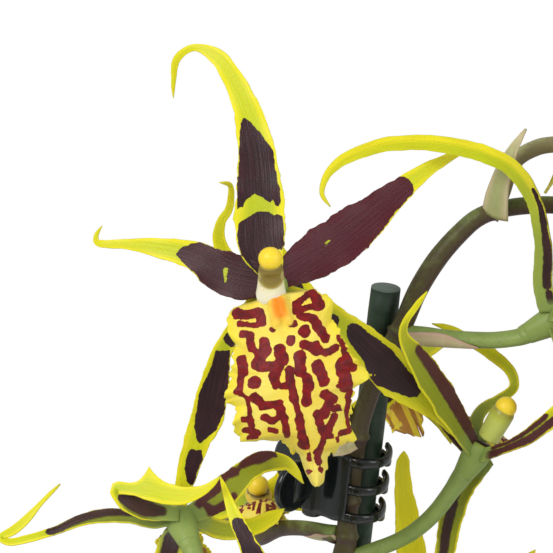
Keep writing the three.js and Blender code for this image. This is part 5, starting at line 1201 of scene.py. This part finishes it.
def add_bract(skin, base, tip, face, widths, curl=0.3, sag=0.0, dry=1.0):
    """A papery boat-shaped scale from base to tip, hollow towards face, its widths listed the same way."""
    ts = np.linspace(0, 1, 30)
    line = base + np.outer(ts, tip - base) - np.outer(np.sin(np.pi * ts) * sag, face)
    way = slope_of(line)
    side = unit(np.cross(way, face))
    up = np.cross(side, way)
    wide = level(widths, ts)[:, None]
    share = np.linspace(-1, 1, 13)
    bend = wide * (curl * share**2)
    bend = bend + 0.25 * np.abs(share) ** 3 * np.sin(9 * ts[:, None] + 3 * np.sign(share))
    middle = off_line(line, side, wide * share / 2, up, bend)
    rim = np.maximum(np.abs(share) * np.ones((30, 1)), ts[:, None] ** 2)
    add_sheet(skin, middle, up[:, None], 0.35 - 0.12 * share**2, flush=0.0, pale=dry + dry * rim**3, bud=0.0)


def add_pedicel(skin, bloom):
    room = np.linalg.norm(bloom.back - bloom.path[-1])
    ends = [bloom.back - bloom.arrival * min(3, room / 2), bloom.back + bloom.arrival * 1.8]
    points = bloom.path + ends
    ts = np.linspace(0, 1, 90)
    line = smooth_line(points, ts)
    arc = arc_of(line)
    radii = level(PEDICEL, ts) + 0.35 * np.exp(-((arc / 2.2) ** 2))
    radii = radii * np.interp(arc[-1] - arc, [0, 1.7], [0.5, 1])
    flush = FLUSH[bloom.number] + 0.2 * np.sin(arc / 7 + bloom.number)
    flush = flush + (-0.35 - flush) * np.interp(arc[-1] - arc, [2, 12], [1, 0])
    ribs = 1 + 0.05 * np.cos(3 * turns(18) + (arc * 0.05)[:, None])
    sheathed = bloom.number == SHEATHED
    pale = 0.6 if sheathed else 0.0
    add_rings(skin, tube_rings(line, radii, 18, bumps=ribs), flush=flush, pale=pale, bud=0.0)
    if sheathed:
        return
    root, out = points[0], unit(points[1] - points[0])
    if bloom.number == LONG_BRACT:
        look = unit(direction(0, 1, -0.5))
        base, tip = root - look * 2 + out, root + out * 15.5 - look * 2.7
        add_bract(skin, base, tip, look, [4.6, 5.6, 5.2, 4.2, 2.6, 0.5], curl=0.28)
    else:
        below = np.array([0, 0, -1.9])
        base, tip = root + below * 0.4 - out, root + out * 9 + below
        add_bract(skin, base, tip, UP, [3.6, 4.6, 4.2, 3.4, 2.2, 0.5], sag=0.5)


def add_bud(skin, joint, tip, radius):
    joint, tip = place(*joint), place(*tip)
    ts = np.linspace(0, 1, 40)
    line = smooth_line([joint + (tip - joint) * t for t in (0, 0.35, 0.7, 1)], ts)
    radii = [1.2, 1.3, 0.75 * radius, radius, 0.92 * radius, 0.5 * radius, 0.3]
    radii = np.interp(ts, [0, 0.25, 0.42, 0.6, 0.78, 0.92, 1], radii)
    seams = 1 - 0.06 * np.clip(ts * 3 - 1, 0, 1)[:, None] * np.abs(np.cos(1.5 * turns(24))) ** 8
    swell = np.clip(ts * 4 - 1.2, 0, 0.9)
    add_rings(skin, tube_rings(line, radii, 24, bumps=seams), flush=0.5, pale=0.0, bud=swell)


spike = Skin("flush", "pale", "bud")
add_stem(spike)
for bloom in blooms:
    add_pedicel(spike, bloom)
for bud in BUDS:
    add_bud(spike, *bud)
add_bract(spike, place(21.4, 13.9, 8.4), place(28, 31.6, 12.5), unit(direction(0.4, -0.2, -1)),
          [6, 5.2, 4.1, 3.5, 2.6, 1.6, 0.4], curl=0.15, sag=4.0, dry=0.6)
add_bract(spike, place(-6.2, -31.6, -1.2), place(-10.6, -33.6, 0.4), unit(direction(0.1, 0.2, 1)),
          [1.8, 2.2, 1.8, 0.6], dry=0.75)
spike.piece("flower_spike_skin", SKINS["stem"], "spike", ["flower_spike"])

# The stake, with a sawn top.
stake = Skin()
ts = np.linspace(0, 1, 90)
line = STAKE_FOOT + np.outer(ts, STAKE_TOP - AXIS * 0.25 - STAKE_FOOT)
radii = np.full(90, 3.05)
radii[-1] = 2.98
add_rings(stake, tube_rings(line, radii, 48, hint=RIGHT))
stake.piece("stake_rod", SKINS["stake"], "stake", ["stake"])
sawn = Skin()
end = [STAKE_TOP - AXIS * drop for drop in (0.3, 0.1, 0.0)]
add_rings(sawn, tube_rings(np.array(end), [2.96, 2.96, 2.85], 48, hint=RIGHT))
sawn.piece("stake_sawn_end", SKINS["stake_end"], "stake")

# The claw clip, in the plane square to the stake: b to the right, c to the front and d down the stake.
CLIP = {"rise": -39.4, "hinge": (-9.8, 1.9), "pin": 0.65, "bore": 0.95, "length": 15.4}
CLAW = {"centre": (-1.0, 2.2), "across": 4.9, "deep": 6.3, "pitch": 6.0, "stagger": 2.0}
PADDLE = {"out": 6.9, "turn": 48}
CLIP_RIGHT = unit(RIGHT - AXIS * (RIGHT @ AXIS))
CLIP_FRONT = np.cross(CLIP_RIGHT, AXIS)
CLIP_ORIGIN = STAKE_TOP + AXIS * CLIP["rise"] / (UP @ AXIS)


def clip_point(b, c, d):
    b, c, d = np.broadcast_arrays(*(np.asarray(v, float) for v in (b, c, d)))
    return CLIP_ORIGIN + b[..., None] * CLIP_RIGHT + c[..., None] * CLIP_FRONT - d[..., None] * AXIS


def add_bar(skin, b, c, d, thick, wide, sides=20, square=4.0):
    """A rounded flat bar along a line in the clip's plane, wide down the stake and thick across."""
    line = clip_point(b, c, d)
    way = slope_of(line)
    turn = turns(sides)
    u = np.sign(np.cos(turn)) * np.abs(np.cos(turn)) ** (2 / square)
    v = np.sign(np.sin(turn)) * np.abs(np.sin(turn)) ** (2 / square)
    side = unit(-AXIS - way * (way @ -AXIS)[:, None])
    flat = np.cross(side, way)
    thick, wide = np.broadcast_to(thick, len(line)), np.broadcast_to(wide, len(line))
    add_rings(skin, off_line(line, flat, thick[:, None] / 2 * u, side, wide[:, None] / 2 * v))


def add_claw(skin, side, middle):
    """One claw: from the hinge side round one face of the stem and stake, to a hooked blunt tip."""
    turn = np.radians(np.linspace(165, -22, 46))
    t = np.linspace(0, 1, 46)
    thick = np.interp(t, [0, 0.7, 0.93, 1], [1.3, 1.3, 1.15, 0.8])
    grow = thick * 0.5
    b = CLAW["centre"][0] + np.cos(turn) * (CLAW["across"] + grow)
    c = CLAW["centre"][1] + side * np.sin(turn) * (CLAW["deep"] + grow)
    wide = np.interp(t, [0, 0.2, 0.85, 1], [2.8, 2.2, 2.0, 1.5])
    add_bar(skin, b, c, middle - 0.9 * t**6, thick, wide, square=2.8)


def add_paddle(skin, side):
    """A round finger plate, dished on its outside."""
    a = math.radians(PADDLE["turn"])
    b0, c0 = CLIP["hinge"]
    centre = (b0 - math.cos(a) * PADDLE["out"], c0 + side * math.sin(a) * PADDLE["out"] + side * 1.6)
    along = -math.cos(a), side * math.sin(a)
    outward = side * math.sin(a), math.cos(a)
    profile = [(0.02, 0.28), (2.5, 0.34), (4.2, 0.5), (4.9, 0.68), (5.2, 0.66), (5.4, 0.4), (5.4, -0.4),
               (5.2, -0.64), (4.6, -0.7), (0.02, -0.7)]
    turn = turns(56)
    rings = []
    for radius, rise in profile:
        u, v, n = np.cos(turn) * radius, np.sin(turn) * radius, side * rise
        b, c = (centre[k] + along[k] * u + outward[k] * n for k in (0, 1))
        rings.append(clip_point(b, c, -0.7 + v))
    add_rings(skin, np.array(rings))
    far = np.linspace(0, 1, 14)
    reach = far * PADDLE["out"]
    lift = 1.35 + 0.35 * far + 0.5 * np.sin(np.pi * far)
    b = b0 + along[0] * reach
    c = c0 + along[1] * reach + side * lift
    add_bar(skin, b, c, np.full(14, -0.6), 1.25, np.interp(far, [0, 0.3, 1], [6.4, 6.6, 7.4]))


def add_jaw(name, side, shift, knuckles, body):
    skin = Skin()
    bore = CLIP["bore"]
    b0, c0 = CLIP["hinge"]
    turn = turns(36)
    for low, high in knuckles:
        wall = [(bore, low), (1.9, low), (2.1, low + 0.2), (2.1, high - 0.2), (1.9, high), (bore, high)]
        rings = np.array([clip_point(b0 + r * np.cos(turn), c0 + r * np.sin(turn), d) for r, d in wall])
        loop = np.concatenate([rings, rings[:1]])
        skin.add(loop, grid_faces(len(loop), 36, closed=True))
    t = np.linspace(0, 1, 18)
    bends = [(b0 - 2.95, 1.5), (b0 - 1.5, 2.75), (b0 + 0.5, 3.1), (b0 + 2.4, 3.7), (-5.4, 5.8), (-3.4, 6.8)]
    path = smooth_line([(b, side * c) for b, c in bends], t)
    thick = np.interp(t, [0, 0.2, 0.6, 1], [0.8, 0.9, 1.9, 1.3])
    wide = np.interp(t, [0, 0.25, 0.5, 0.8, 1], [12.6, 14.6, 15, 14.6, 13.6])
    add_bar(skin, path[:, 0], c0 + path[:, 1], np.full(18, shift), thick, wide, sides=28, square=6)
    for step in (-1, 0, 1):
        add_claw(skin, side, shift + step * CLAW["pitch"])
    add_paddle(skin, side)
    skin.piece(f"{name}_shell", SKINS["clip"], "clip", [name], body)


half = CLIP["length"] / 2
add_jaw("clip_jaw_back", -1, CLAW["stagger"] / 2, [(-half, -5.7), (5.7, half)], PLANT)
add_jaw("clip_jaw_front", 1, -CLAW["stagger"] / 2, [(-5.4, -2.9), (2.9, 5.4)], FRONT_JAW)

hinge_b, hinge_c = CLIP["hinge"]
pin = Skin()
ends = [-half - 0.6, -half - 0.45, -half, half, half + 0.45, half + 0.6]
line = clip_point(hinge_b, hinge_c, ends)
add_rings(pin, tube_rings(line, [0.5, *[CLIP["pin"]] * 4, 0.5], 24, hint=RIGHT))
pin.piece("clip_pin_wire", SKINS["steel"], "steel", ["clip_pin"])
coil = Skin()
ts = np.linspace(0, 1, 260)
turn = ts * 6.5 * 2 * np.pi
line = clip_point(hinge_b + 1.45 * np.cos(turn), hinge_c + 1.45 * np.sin(turn), -2.25 + 4.5 * ts)
add_rings(coil, tube_rings(line, np.full(260, 0.33), 12, hint=AXIS))
coil.piece("clip_spring_coil", SKINS["steel"], "steel", ["clip_spring"])

# The pot: a lathe-turned wall with a rolled rim, and a floor with drainage holes.
POT = {
    "height": 105, "top": 58, "foot": 44, "wall": 1.6, "floor": 2.2,
    "rim": 11, "lip": 2.4, "hole": 4, "ring": 28,
}


def pot_inner(z):
    return POT["foot"] - POT["wall"] + (POT["top"] - POT["foot"]) * z / POT["height"]


def build_pot_wall():
    height, top, foot, lip = POT["height"], POT["top"], POT["foot"], POT["lip"]
    under, edge = height - POT["rim"], top + lip
    outer = foot + (top - foot) * under / height
    corner = np.radians(np.linspace(-90, 0, 6))
    outline = [(foot - 1.5 + 1.5 * math.cos(a), 1.5 + 1.5 * math.sin(a)) for a in corner]
    outline += [(foot + (top - foot) * z / height, z) for z in (10, 40, 70)]
    outline += [(outer - 0.1, under - 0.3), (outer + 0.5, under + 0.1)]
    outline += [(edge - 0.6, under), (edge, under + 0.5)]
    outline += [(edge + 0.4, height - 2.5), (edge + 0.6, height - 1.2), (edge + 0.3, height - 0.3)]
    outline += [(edge - 0.6, height), (top - 0.6, height)]
    outline += [(pot_inner(height), height - 0.7), (pot_inner(height - 3), height - 3)]
    outline += [(pot_inner(z), z) for z in (70, 40, POT["floor"])]
    outline += [(pot_inner(0) - 1, POT["floor"]), (pot_inner(0) - 1, 0)]
    rings = [level_loop(r, z, turns(128)) for r, z in outline + outline[:1]]
    skin = Skin()
    skin.add(np.array(rings), grid_faces(len(rings), 128, closed=True))
    skin.piece("pot_wall", SKINS["pot"], "pot", ["pot"])


def build_pot_floor():
    """A disc with six drainage holes, drawn as an outline and filled."""
    plate = bpy.data.curves.new("pot_floor", "CURVE")
    plate.dimensions = "2D"
    plate.extrude = POT["floor"] / 2 * MM
    rounds = [(0, 0, pot_inner(0) - 0.6, 96)]
    for k in range(6):
        a = k * math.pi / 3
        rounds.append((POT["ring"] * math.cos(a), POT["ring"] * math.sin(a), POT["hole"], 32))
    for x, y, radius, count in rounds:
        loop = plate.splines.new("POLY")
        loop.points.add(count - 1)
        loop.use_cyclic_u = True
        for point, a in zip(loop.points, turns(count)):
            point.co = ((x + radius * math.cos(a)) * MM, (y + radius * math.sin(a)) * MM, 0, 1)
    plate.materials.append(SKINS["pot"])
    source = new_object("pot_floor_outline", plate)
    mesh = bpy.data.meshes.new_from_object(source.evaluated_get(bpy.context.evaluated_depsgraph_get()))
    bpy.data.objects.remove(source)
    mesh.transform(Matrix.Translation((0, 0, POT["floor"] / 2 * MM)))
    dressed(new_object("pot_floor", mesh))


build_pot_wall()
build_pot_floor()

# The pseudobulbs, with the dry sheaths round their feet.
BARK_LEVEL = 91.0
BULB = {"broad": 17.0, "thick": 9.5, "high": 35.0, "sunk": 12.0}
# Each dry sheath starts at an angle, runs on by another, and is torn at a height up its bulb.
DRY_SHEATHS = [(0.4, 2.6, -0.1), (3.4, 2.3, 0.06), (1.9, 1.7, -0.3)]
BULBS = [
    {"at": (2, -5), "yaw": 0, "size": 1,
     "leaves": [(-3, 295, 84), (183, 270, 92)], "sheaths": [(4, 215, 82), (177, 200, 96)]},
    {"at": (-4, -28), "yaw": 4, "size": 0.95,
     "leaves": [(-16, 280, 92), (198, 255, 100)], "sheaths": [(-38, 205, 92), (218, 170, 108)]},
    {"at": (6, 37), "yaw": -4, "size": 0.88,
     "leaves": [(12, 260, 86), (162, 265, 96)], "sheaths": []},
    {"at": (36, 14), "yaw": 80, "size": 0.78,
     "leaves": [(52, 225, 104)], "sheaths": []},
]


def bulb_points(bulb, height, turn, grow=0.0):
    """Points on a bulb's side: height runs from -1 at its foot to 1 at its top, turn round it."""
    angle = np.pi / 2 * 0.94 * height
    spread = np.cos(angle) * bulb["size"]
    middle = BARK_LEVEL - BULB["sunk"] + BULB["high"] * bulb["size"]
    ribs = 0.28 * np.cos(9 * turn + 2 * np.sin(2 * turn)) * np.cos(angle)
    x = (BULB["broad"] * spread + grow + ribs) * np.cos(turn)
    y = (BULB["thick"] * spread + grow + ribs) * np.sin(turn)
    z = middle + np.sin(angle) * (BULB["high"] * bulb["size"] + grow)
    a = math.radians(bulb["yaw"])
    across = x * math.cos(a) - y * math.sin(a) + bulb["at"][0]
    along = x * math.sin(a) + y * math.cos(a) + bulb["at"][1]
    return np.stack([across, along, z + 0 * x], -1)


for number, bulb in enumerate(BULBS, 1):
    turn = turns(72)
    rings = np.array([bulb_points(bulb, h, turn) for h in np.linspace(-1, 1, 48)])
    skin = Skin()
    add_rings(skin, rings)
    skin.piece(f"pseudobulb_{number}_skin", SKINS["bulb"], "bulb", [f"pseudobulb_{number}"])
    husk = Skin()
    random = np.random.default_rng(40 + number)
    for start, wide, high in DRY_SHEATHS:
        spin = start + np.linspace(0, 1, 40) * wide
        torn = high + 0.05 * np.sin(spin * 9 + number) + 0.04 * random.normal(size=40)
        rise = np.linspace(0, 1, 16)[:, None]
        level_at = -0.93 + rise * (torn + 0.93)
        grow = 0.45 + 0.5 * rise**2 + 0.25 * random.random()
        middle = bulb_points(bulb, level_at, np.broadcast_to(spin, level_at.shape), grow + 0 * level_at)
        centre = np.array([*bulb["at"], 100.0])
        add_sheet(husk, middle, middle - centre, 0.25)
    husk.piece(f"pseudobulb_{number}_sheath", SKINS["husk"], "bulb")


# The strap leaves: from the bulbs' tops, and sheathing their feet.
TOP_LEAF = {"lean": 9, "wide": 30, "sunk": 1.3, "off": 3.4}
SHEATH_LEAF = {"lean": 4, "wide": 25, "sunk": 7, "off": 1.6}


def add_leaf(skin, root, azimuth, length, lean, bend, widest, seed):
    rows, columns, count = 110, 17, 10
    t = np.linspace(0, 1, rows)
    way = np.array([math.cos(azimuth), math.sin(azimuth), 0])
    bends = np.radians(lean + (bend - lean) * (np.arange(count) / count) ** 1.5)
    steps = np.outer(np.sin(bends), way) + np.outer(np.cos(bends), WORLD_UP)
    stations = root + np.vstack([np.zeros(3), np.cumsum(steps * length / count, axis=0)])
    line = smooth_line(stations, t)
    tangent = slope_of(line)
    angle = np.radians(lean + (bend - lean) * t**1.5)
    up = -np.outer(np.cos(angle), way) + np.outer(np.sin(angle), WORLD_UP)
    wide = widest * np.minimum(0.26 + 1.9 * t, 1) * np.minimum(1, 2.6 * (1.02 - t)) ** 0.8
    share = np.linspace(-1, 1, columns)
    side = unit(np.cross(tangent, up))
    lift = wide[:, None] * (0.2 * np.abs(share) ** 1.5) - 0.5 * np.exp(-((share / 0.08) ** 2))
    wave = np.abs(share) ** 3 * np.sin(t[:, None] * 17 + seed + np.sign(share))
    lift = lift + 0.5 * wave * np.minimum(t * 4, 1)[:, None]
    across = wide[:, None] / 2 * share
    middle = off_line(line, side, across, up, lift)
    thick = 0.45 + 0.6 * np.exp(-np.abs(share) * 3)
    down = (t * length)[:, None]
    add_sheet(skin, middle, up[:, None], thick, across=across, down=down, reach=t[:, None], share=share)


def leaves_of(bulb):
    """Root, azimuth, length, lean, bend and width of each leaf, the ones at the bulb's top first."""
    x, y = bulb["at"]
    yaw = math.radians(bulb["yaw"])
    top = BARK_LEVEL - BULB["sunk"] + BULB["high"] * bulb["size"] * (1 + math.sin(math.pi * 0.48))
    rows = []
    for azimuth, length, bend in bulb["leaves"]:
        a = math.radians(azimuth)
        off = math.copysign(TOP_LEAF["off"], math.cos(a - yaw))
        root = (x + off * math.cos(yaw), y + off * math.sin(yaw), top - TOP_LEAF["sunk"])
        rows.append((root, a, length, TOP_LEAF["lean"], bend, TOP_LEAF["wide"]))
    reach = BULB["broad"] * bulb["size"] + SHEATH_LEAF["off"]
    for azimuth, length, bend in bulb["sheaths"]:
        a = math.radians(azimuth)
        root = (x + reach * math.cos(a), y + reach * math.sin(a), BARK_LEVEL - SHEATH_LEAF["sunk"])
        rows.append((root, a, length, SHEATH_LEAF["lean"], bend, SHEATH_LEAF["wide"]))
    return rows


all_leaves = [row for bulb in BULBS for row in leaves_of(bulb)]
for number, (root, *rest) in enumerate(all_leaves, 1):
    skin = Skin("across", "down", "reach", "share", "back")
    add_leaf(skin, np.array(root), *rest, seed=number)
    skin.piece(f"leaf_{number}_blade", SKINS["leaf"], "leaf", [f"leaf_{number}"])


# The bark: a filled body below, and loose chips lying on it round whatever stands in it.
CHIPS = 520


def on_a_bulb(spot):
    for bulb in BULBS:
        yaw = math.radians(bulb["yaw"])
        x, y = spot - np.array(bulb["at"], float)
        u = x * math.cos(yaw) + y * math.sin(yaw)
        v = -x * math.sin(yaw) + y * math.cos(yaw)
        broad, thick = (BULB[key] * 0.8 * bulb["size"] for key in ("broad", "thick"))
        if (u / broad) ** 2 + (v / thick) ** 2 < 1:
            return True
    return False


def add_chip(skin, random, spot):
    """One flat broken chip of bark, lying tilted at spot."""
    sides = 8
    long, wide, thick = random.uniform(4, 9), random.uniform(3, 5.5), random.uniform(1.4, 2.8)
    angles = [random.uniform(0, 2 * math.pi), random.normal() * 0.35, random.normal() * 0.3]
    tilt = Matrix.Identity(3)
    for angle, axis in zip(angles, "ZXY"):
        tilt = tilt @ Matrix.Rotation(angle, 3, axis)
    axes = np.array(tilt).T
    corners = 2 * np.pi * (np.arange(sides) + random.uniform(-0.25, 0.25, sides)) / sides
    shape = np.stack([np.cos(corners) * long / 2, np.sin(corners) * wide / 2], -1)
    shape = shape * random.uniform(0.82, 1.12, (sides, 1))
    centre = np.array([*spot, 89.2 + random.uniform(-1.4, 1.6)])
    chip = []
    for rise, scale in ((-0.5, 0.05), (-0.5, 0.82), (-0.3, 1), (0.3, 0.98), (0.5, 0.8), (0.5, 0.05)):
        flat = shape * scale * random.uniform(0.94, 1.04, (sides, 1))
        local = np.concatenate([flat, np.full((sides, 1), rise * thick)], 1)
        chip.append(centre + local @ axes)
    add_rings(skin, np.array(chip), tone=random.uniform(0.1, 1.0))


def build_bark():
    random = np.random.default_rng(12)
    turn = turns(72)
    skin = Skin("tone")
    body = [(0.5, 2.5), (pot_inner(2.5) - 0.4, 2.5), (pot_inner(86) - 0.4, 86.0)]
    rings = [level_loop(radius, z, turn) for radius, z in body]
    for radius in np.linspace(pot_inner(88) - 3, 1, 14):
        ring = level_loop(radius, 0.0, turn)
        ring[:, 2] = 87.5 + 1.2 * wander(8, ring[:, :2], 9.0)
        rings.append(ring)
    add_rings(skin, np.array(rings), tone=0.15)
    chips = 0
    while chips < CHIPS:
        radius = (pot_inner(90) - 5) * math.sqrt(random.random())
        spin = random.uniform(0, 2 * math.pi)
        spot = np.array([radius * math.cos(spin), radius * math.sin(spin)])
        if not on_a_bulb(spot):
            add_chip(skin, random, spot)
            chips += 1
    piece = skin.piece("bark_chips", SKINS["bark"], "bark", ["bark_substrate"])
    piece.data.polygons.foreach_set("use_smooth", [False] * len(piece.data.polygons))


build_bark()


# Floor, lights and camera.
def add_light(name, spot, aim, size, power, colour):
    lamp = bpy.data.lights.new(name, "AREA")
    lamp.size = size
    lamp.energy = power
    lamp.color = colour
    piece = new_object(name, lamp)
    piece.location = Vector(spot)
    piece.rotation_euler = (Vector(aim) - Vector(spot)).to_track_quat("-Z", "Y").to_euler()


def paper_looks(add, space):
    """Matt off-white paper, faintly clouded."""
    clouds = add("TexNoise", {"Vector": space, "Scale": per_mm(40.0)})
    colour = add("Mix", {0: clouds, 6: "#eeeeec", 7: "#f3f3f1"}, COLOURS, out=2)
    return {"Base Color": colour, "Roughness": 0.9}


def build_floor():
    """A round sheet of paper that stays below the foot of the pot."""
    mesh = bpy.data.meshes.new("studio_floor")
    radius, under = 0.8, 0.0005
    rim = [(radius * math.cos(a), radius * math.sin(a), -under) for a in turns(96)]
    mesh.from_pydata(rim, [], [tuple(range(len(rim)))])
    mesh.materials.append(new_material("pale_studio_paper", paper_looks))
    new_object("studio_floor", mesh)


def build_light():
    """The paper behind burns out to white, while the light that it sends round the plant is softer."""
    world = bpy.data.worlds.new("white_studio")
    world.use_nodes = True
    world.node_tree.nodes.clear()
    add = partial(add_node, world.node_tree)
    seen = add("LightPath", out="Is Camera Ray")
    bright = add("MapRange", {"Value": seen, "To Min": 0.5, "To Max": 1.0})
    sky = add("Background", {"Color": (1, 1, 1, 1), "Strength": bright})
    add("OutputWorld", {"Surface": sky})
    bpy.context.scene.world = world
    bpy.context.scene.view_settings.view_transform = "Standard"
    aim = STAKE_TOP * MM
    add_light("key_softbox", (-0.75, -0.95, 1.25), aim, 0.7, 12.5, (1.0, 0.985, 0.96))
    add_light("fill_softbox", (1.0, -0.7, 0.8), aim, 0.9, 5.5, (0.96, 0.98, 1.0))


def build_camera():
    """The photograph's view: 600 mm in front of the flowers, 14 degrees above, at 5 pixels to the mm."""
    sensor, pixels_per_mm, picture_pixels = 36.0, 5, 553
    eye = bpy.data.cameras.new("camera")
    eye.sensor_width = sensor
    eye.lens = sensor * VIEW["distance"] * pixels_per_mm / picture_pixels
    eye.clip_start = 0.01
    camera = new_object("camera", eye)
    middle = STAKE_TOP + direction(VIEW["x"], VIEW["z"], VIEW["distance"])
    axes = Matrix([Vector(RIGHT), Vector(UP), Vector(OUT)]).transposed()
    camera.matrix_world = Matrix.Translation(Vector(middle * MM)) @ axes.to_4x4()
    bpy.context.scene.camera = camera


build_floor()
build_light()
build_camera()
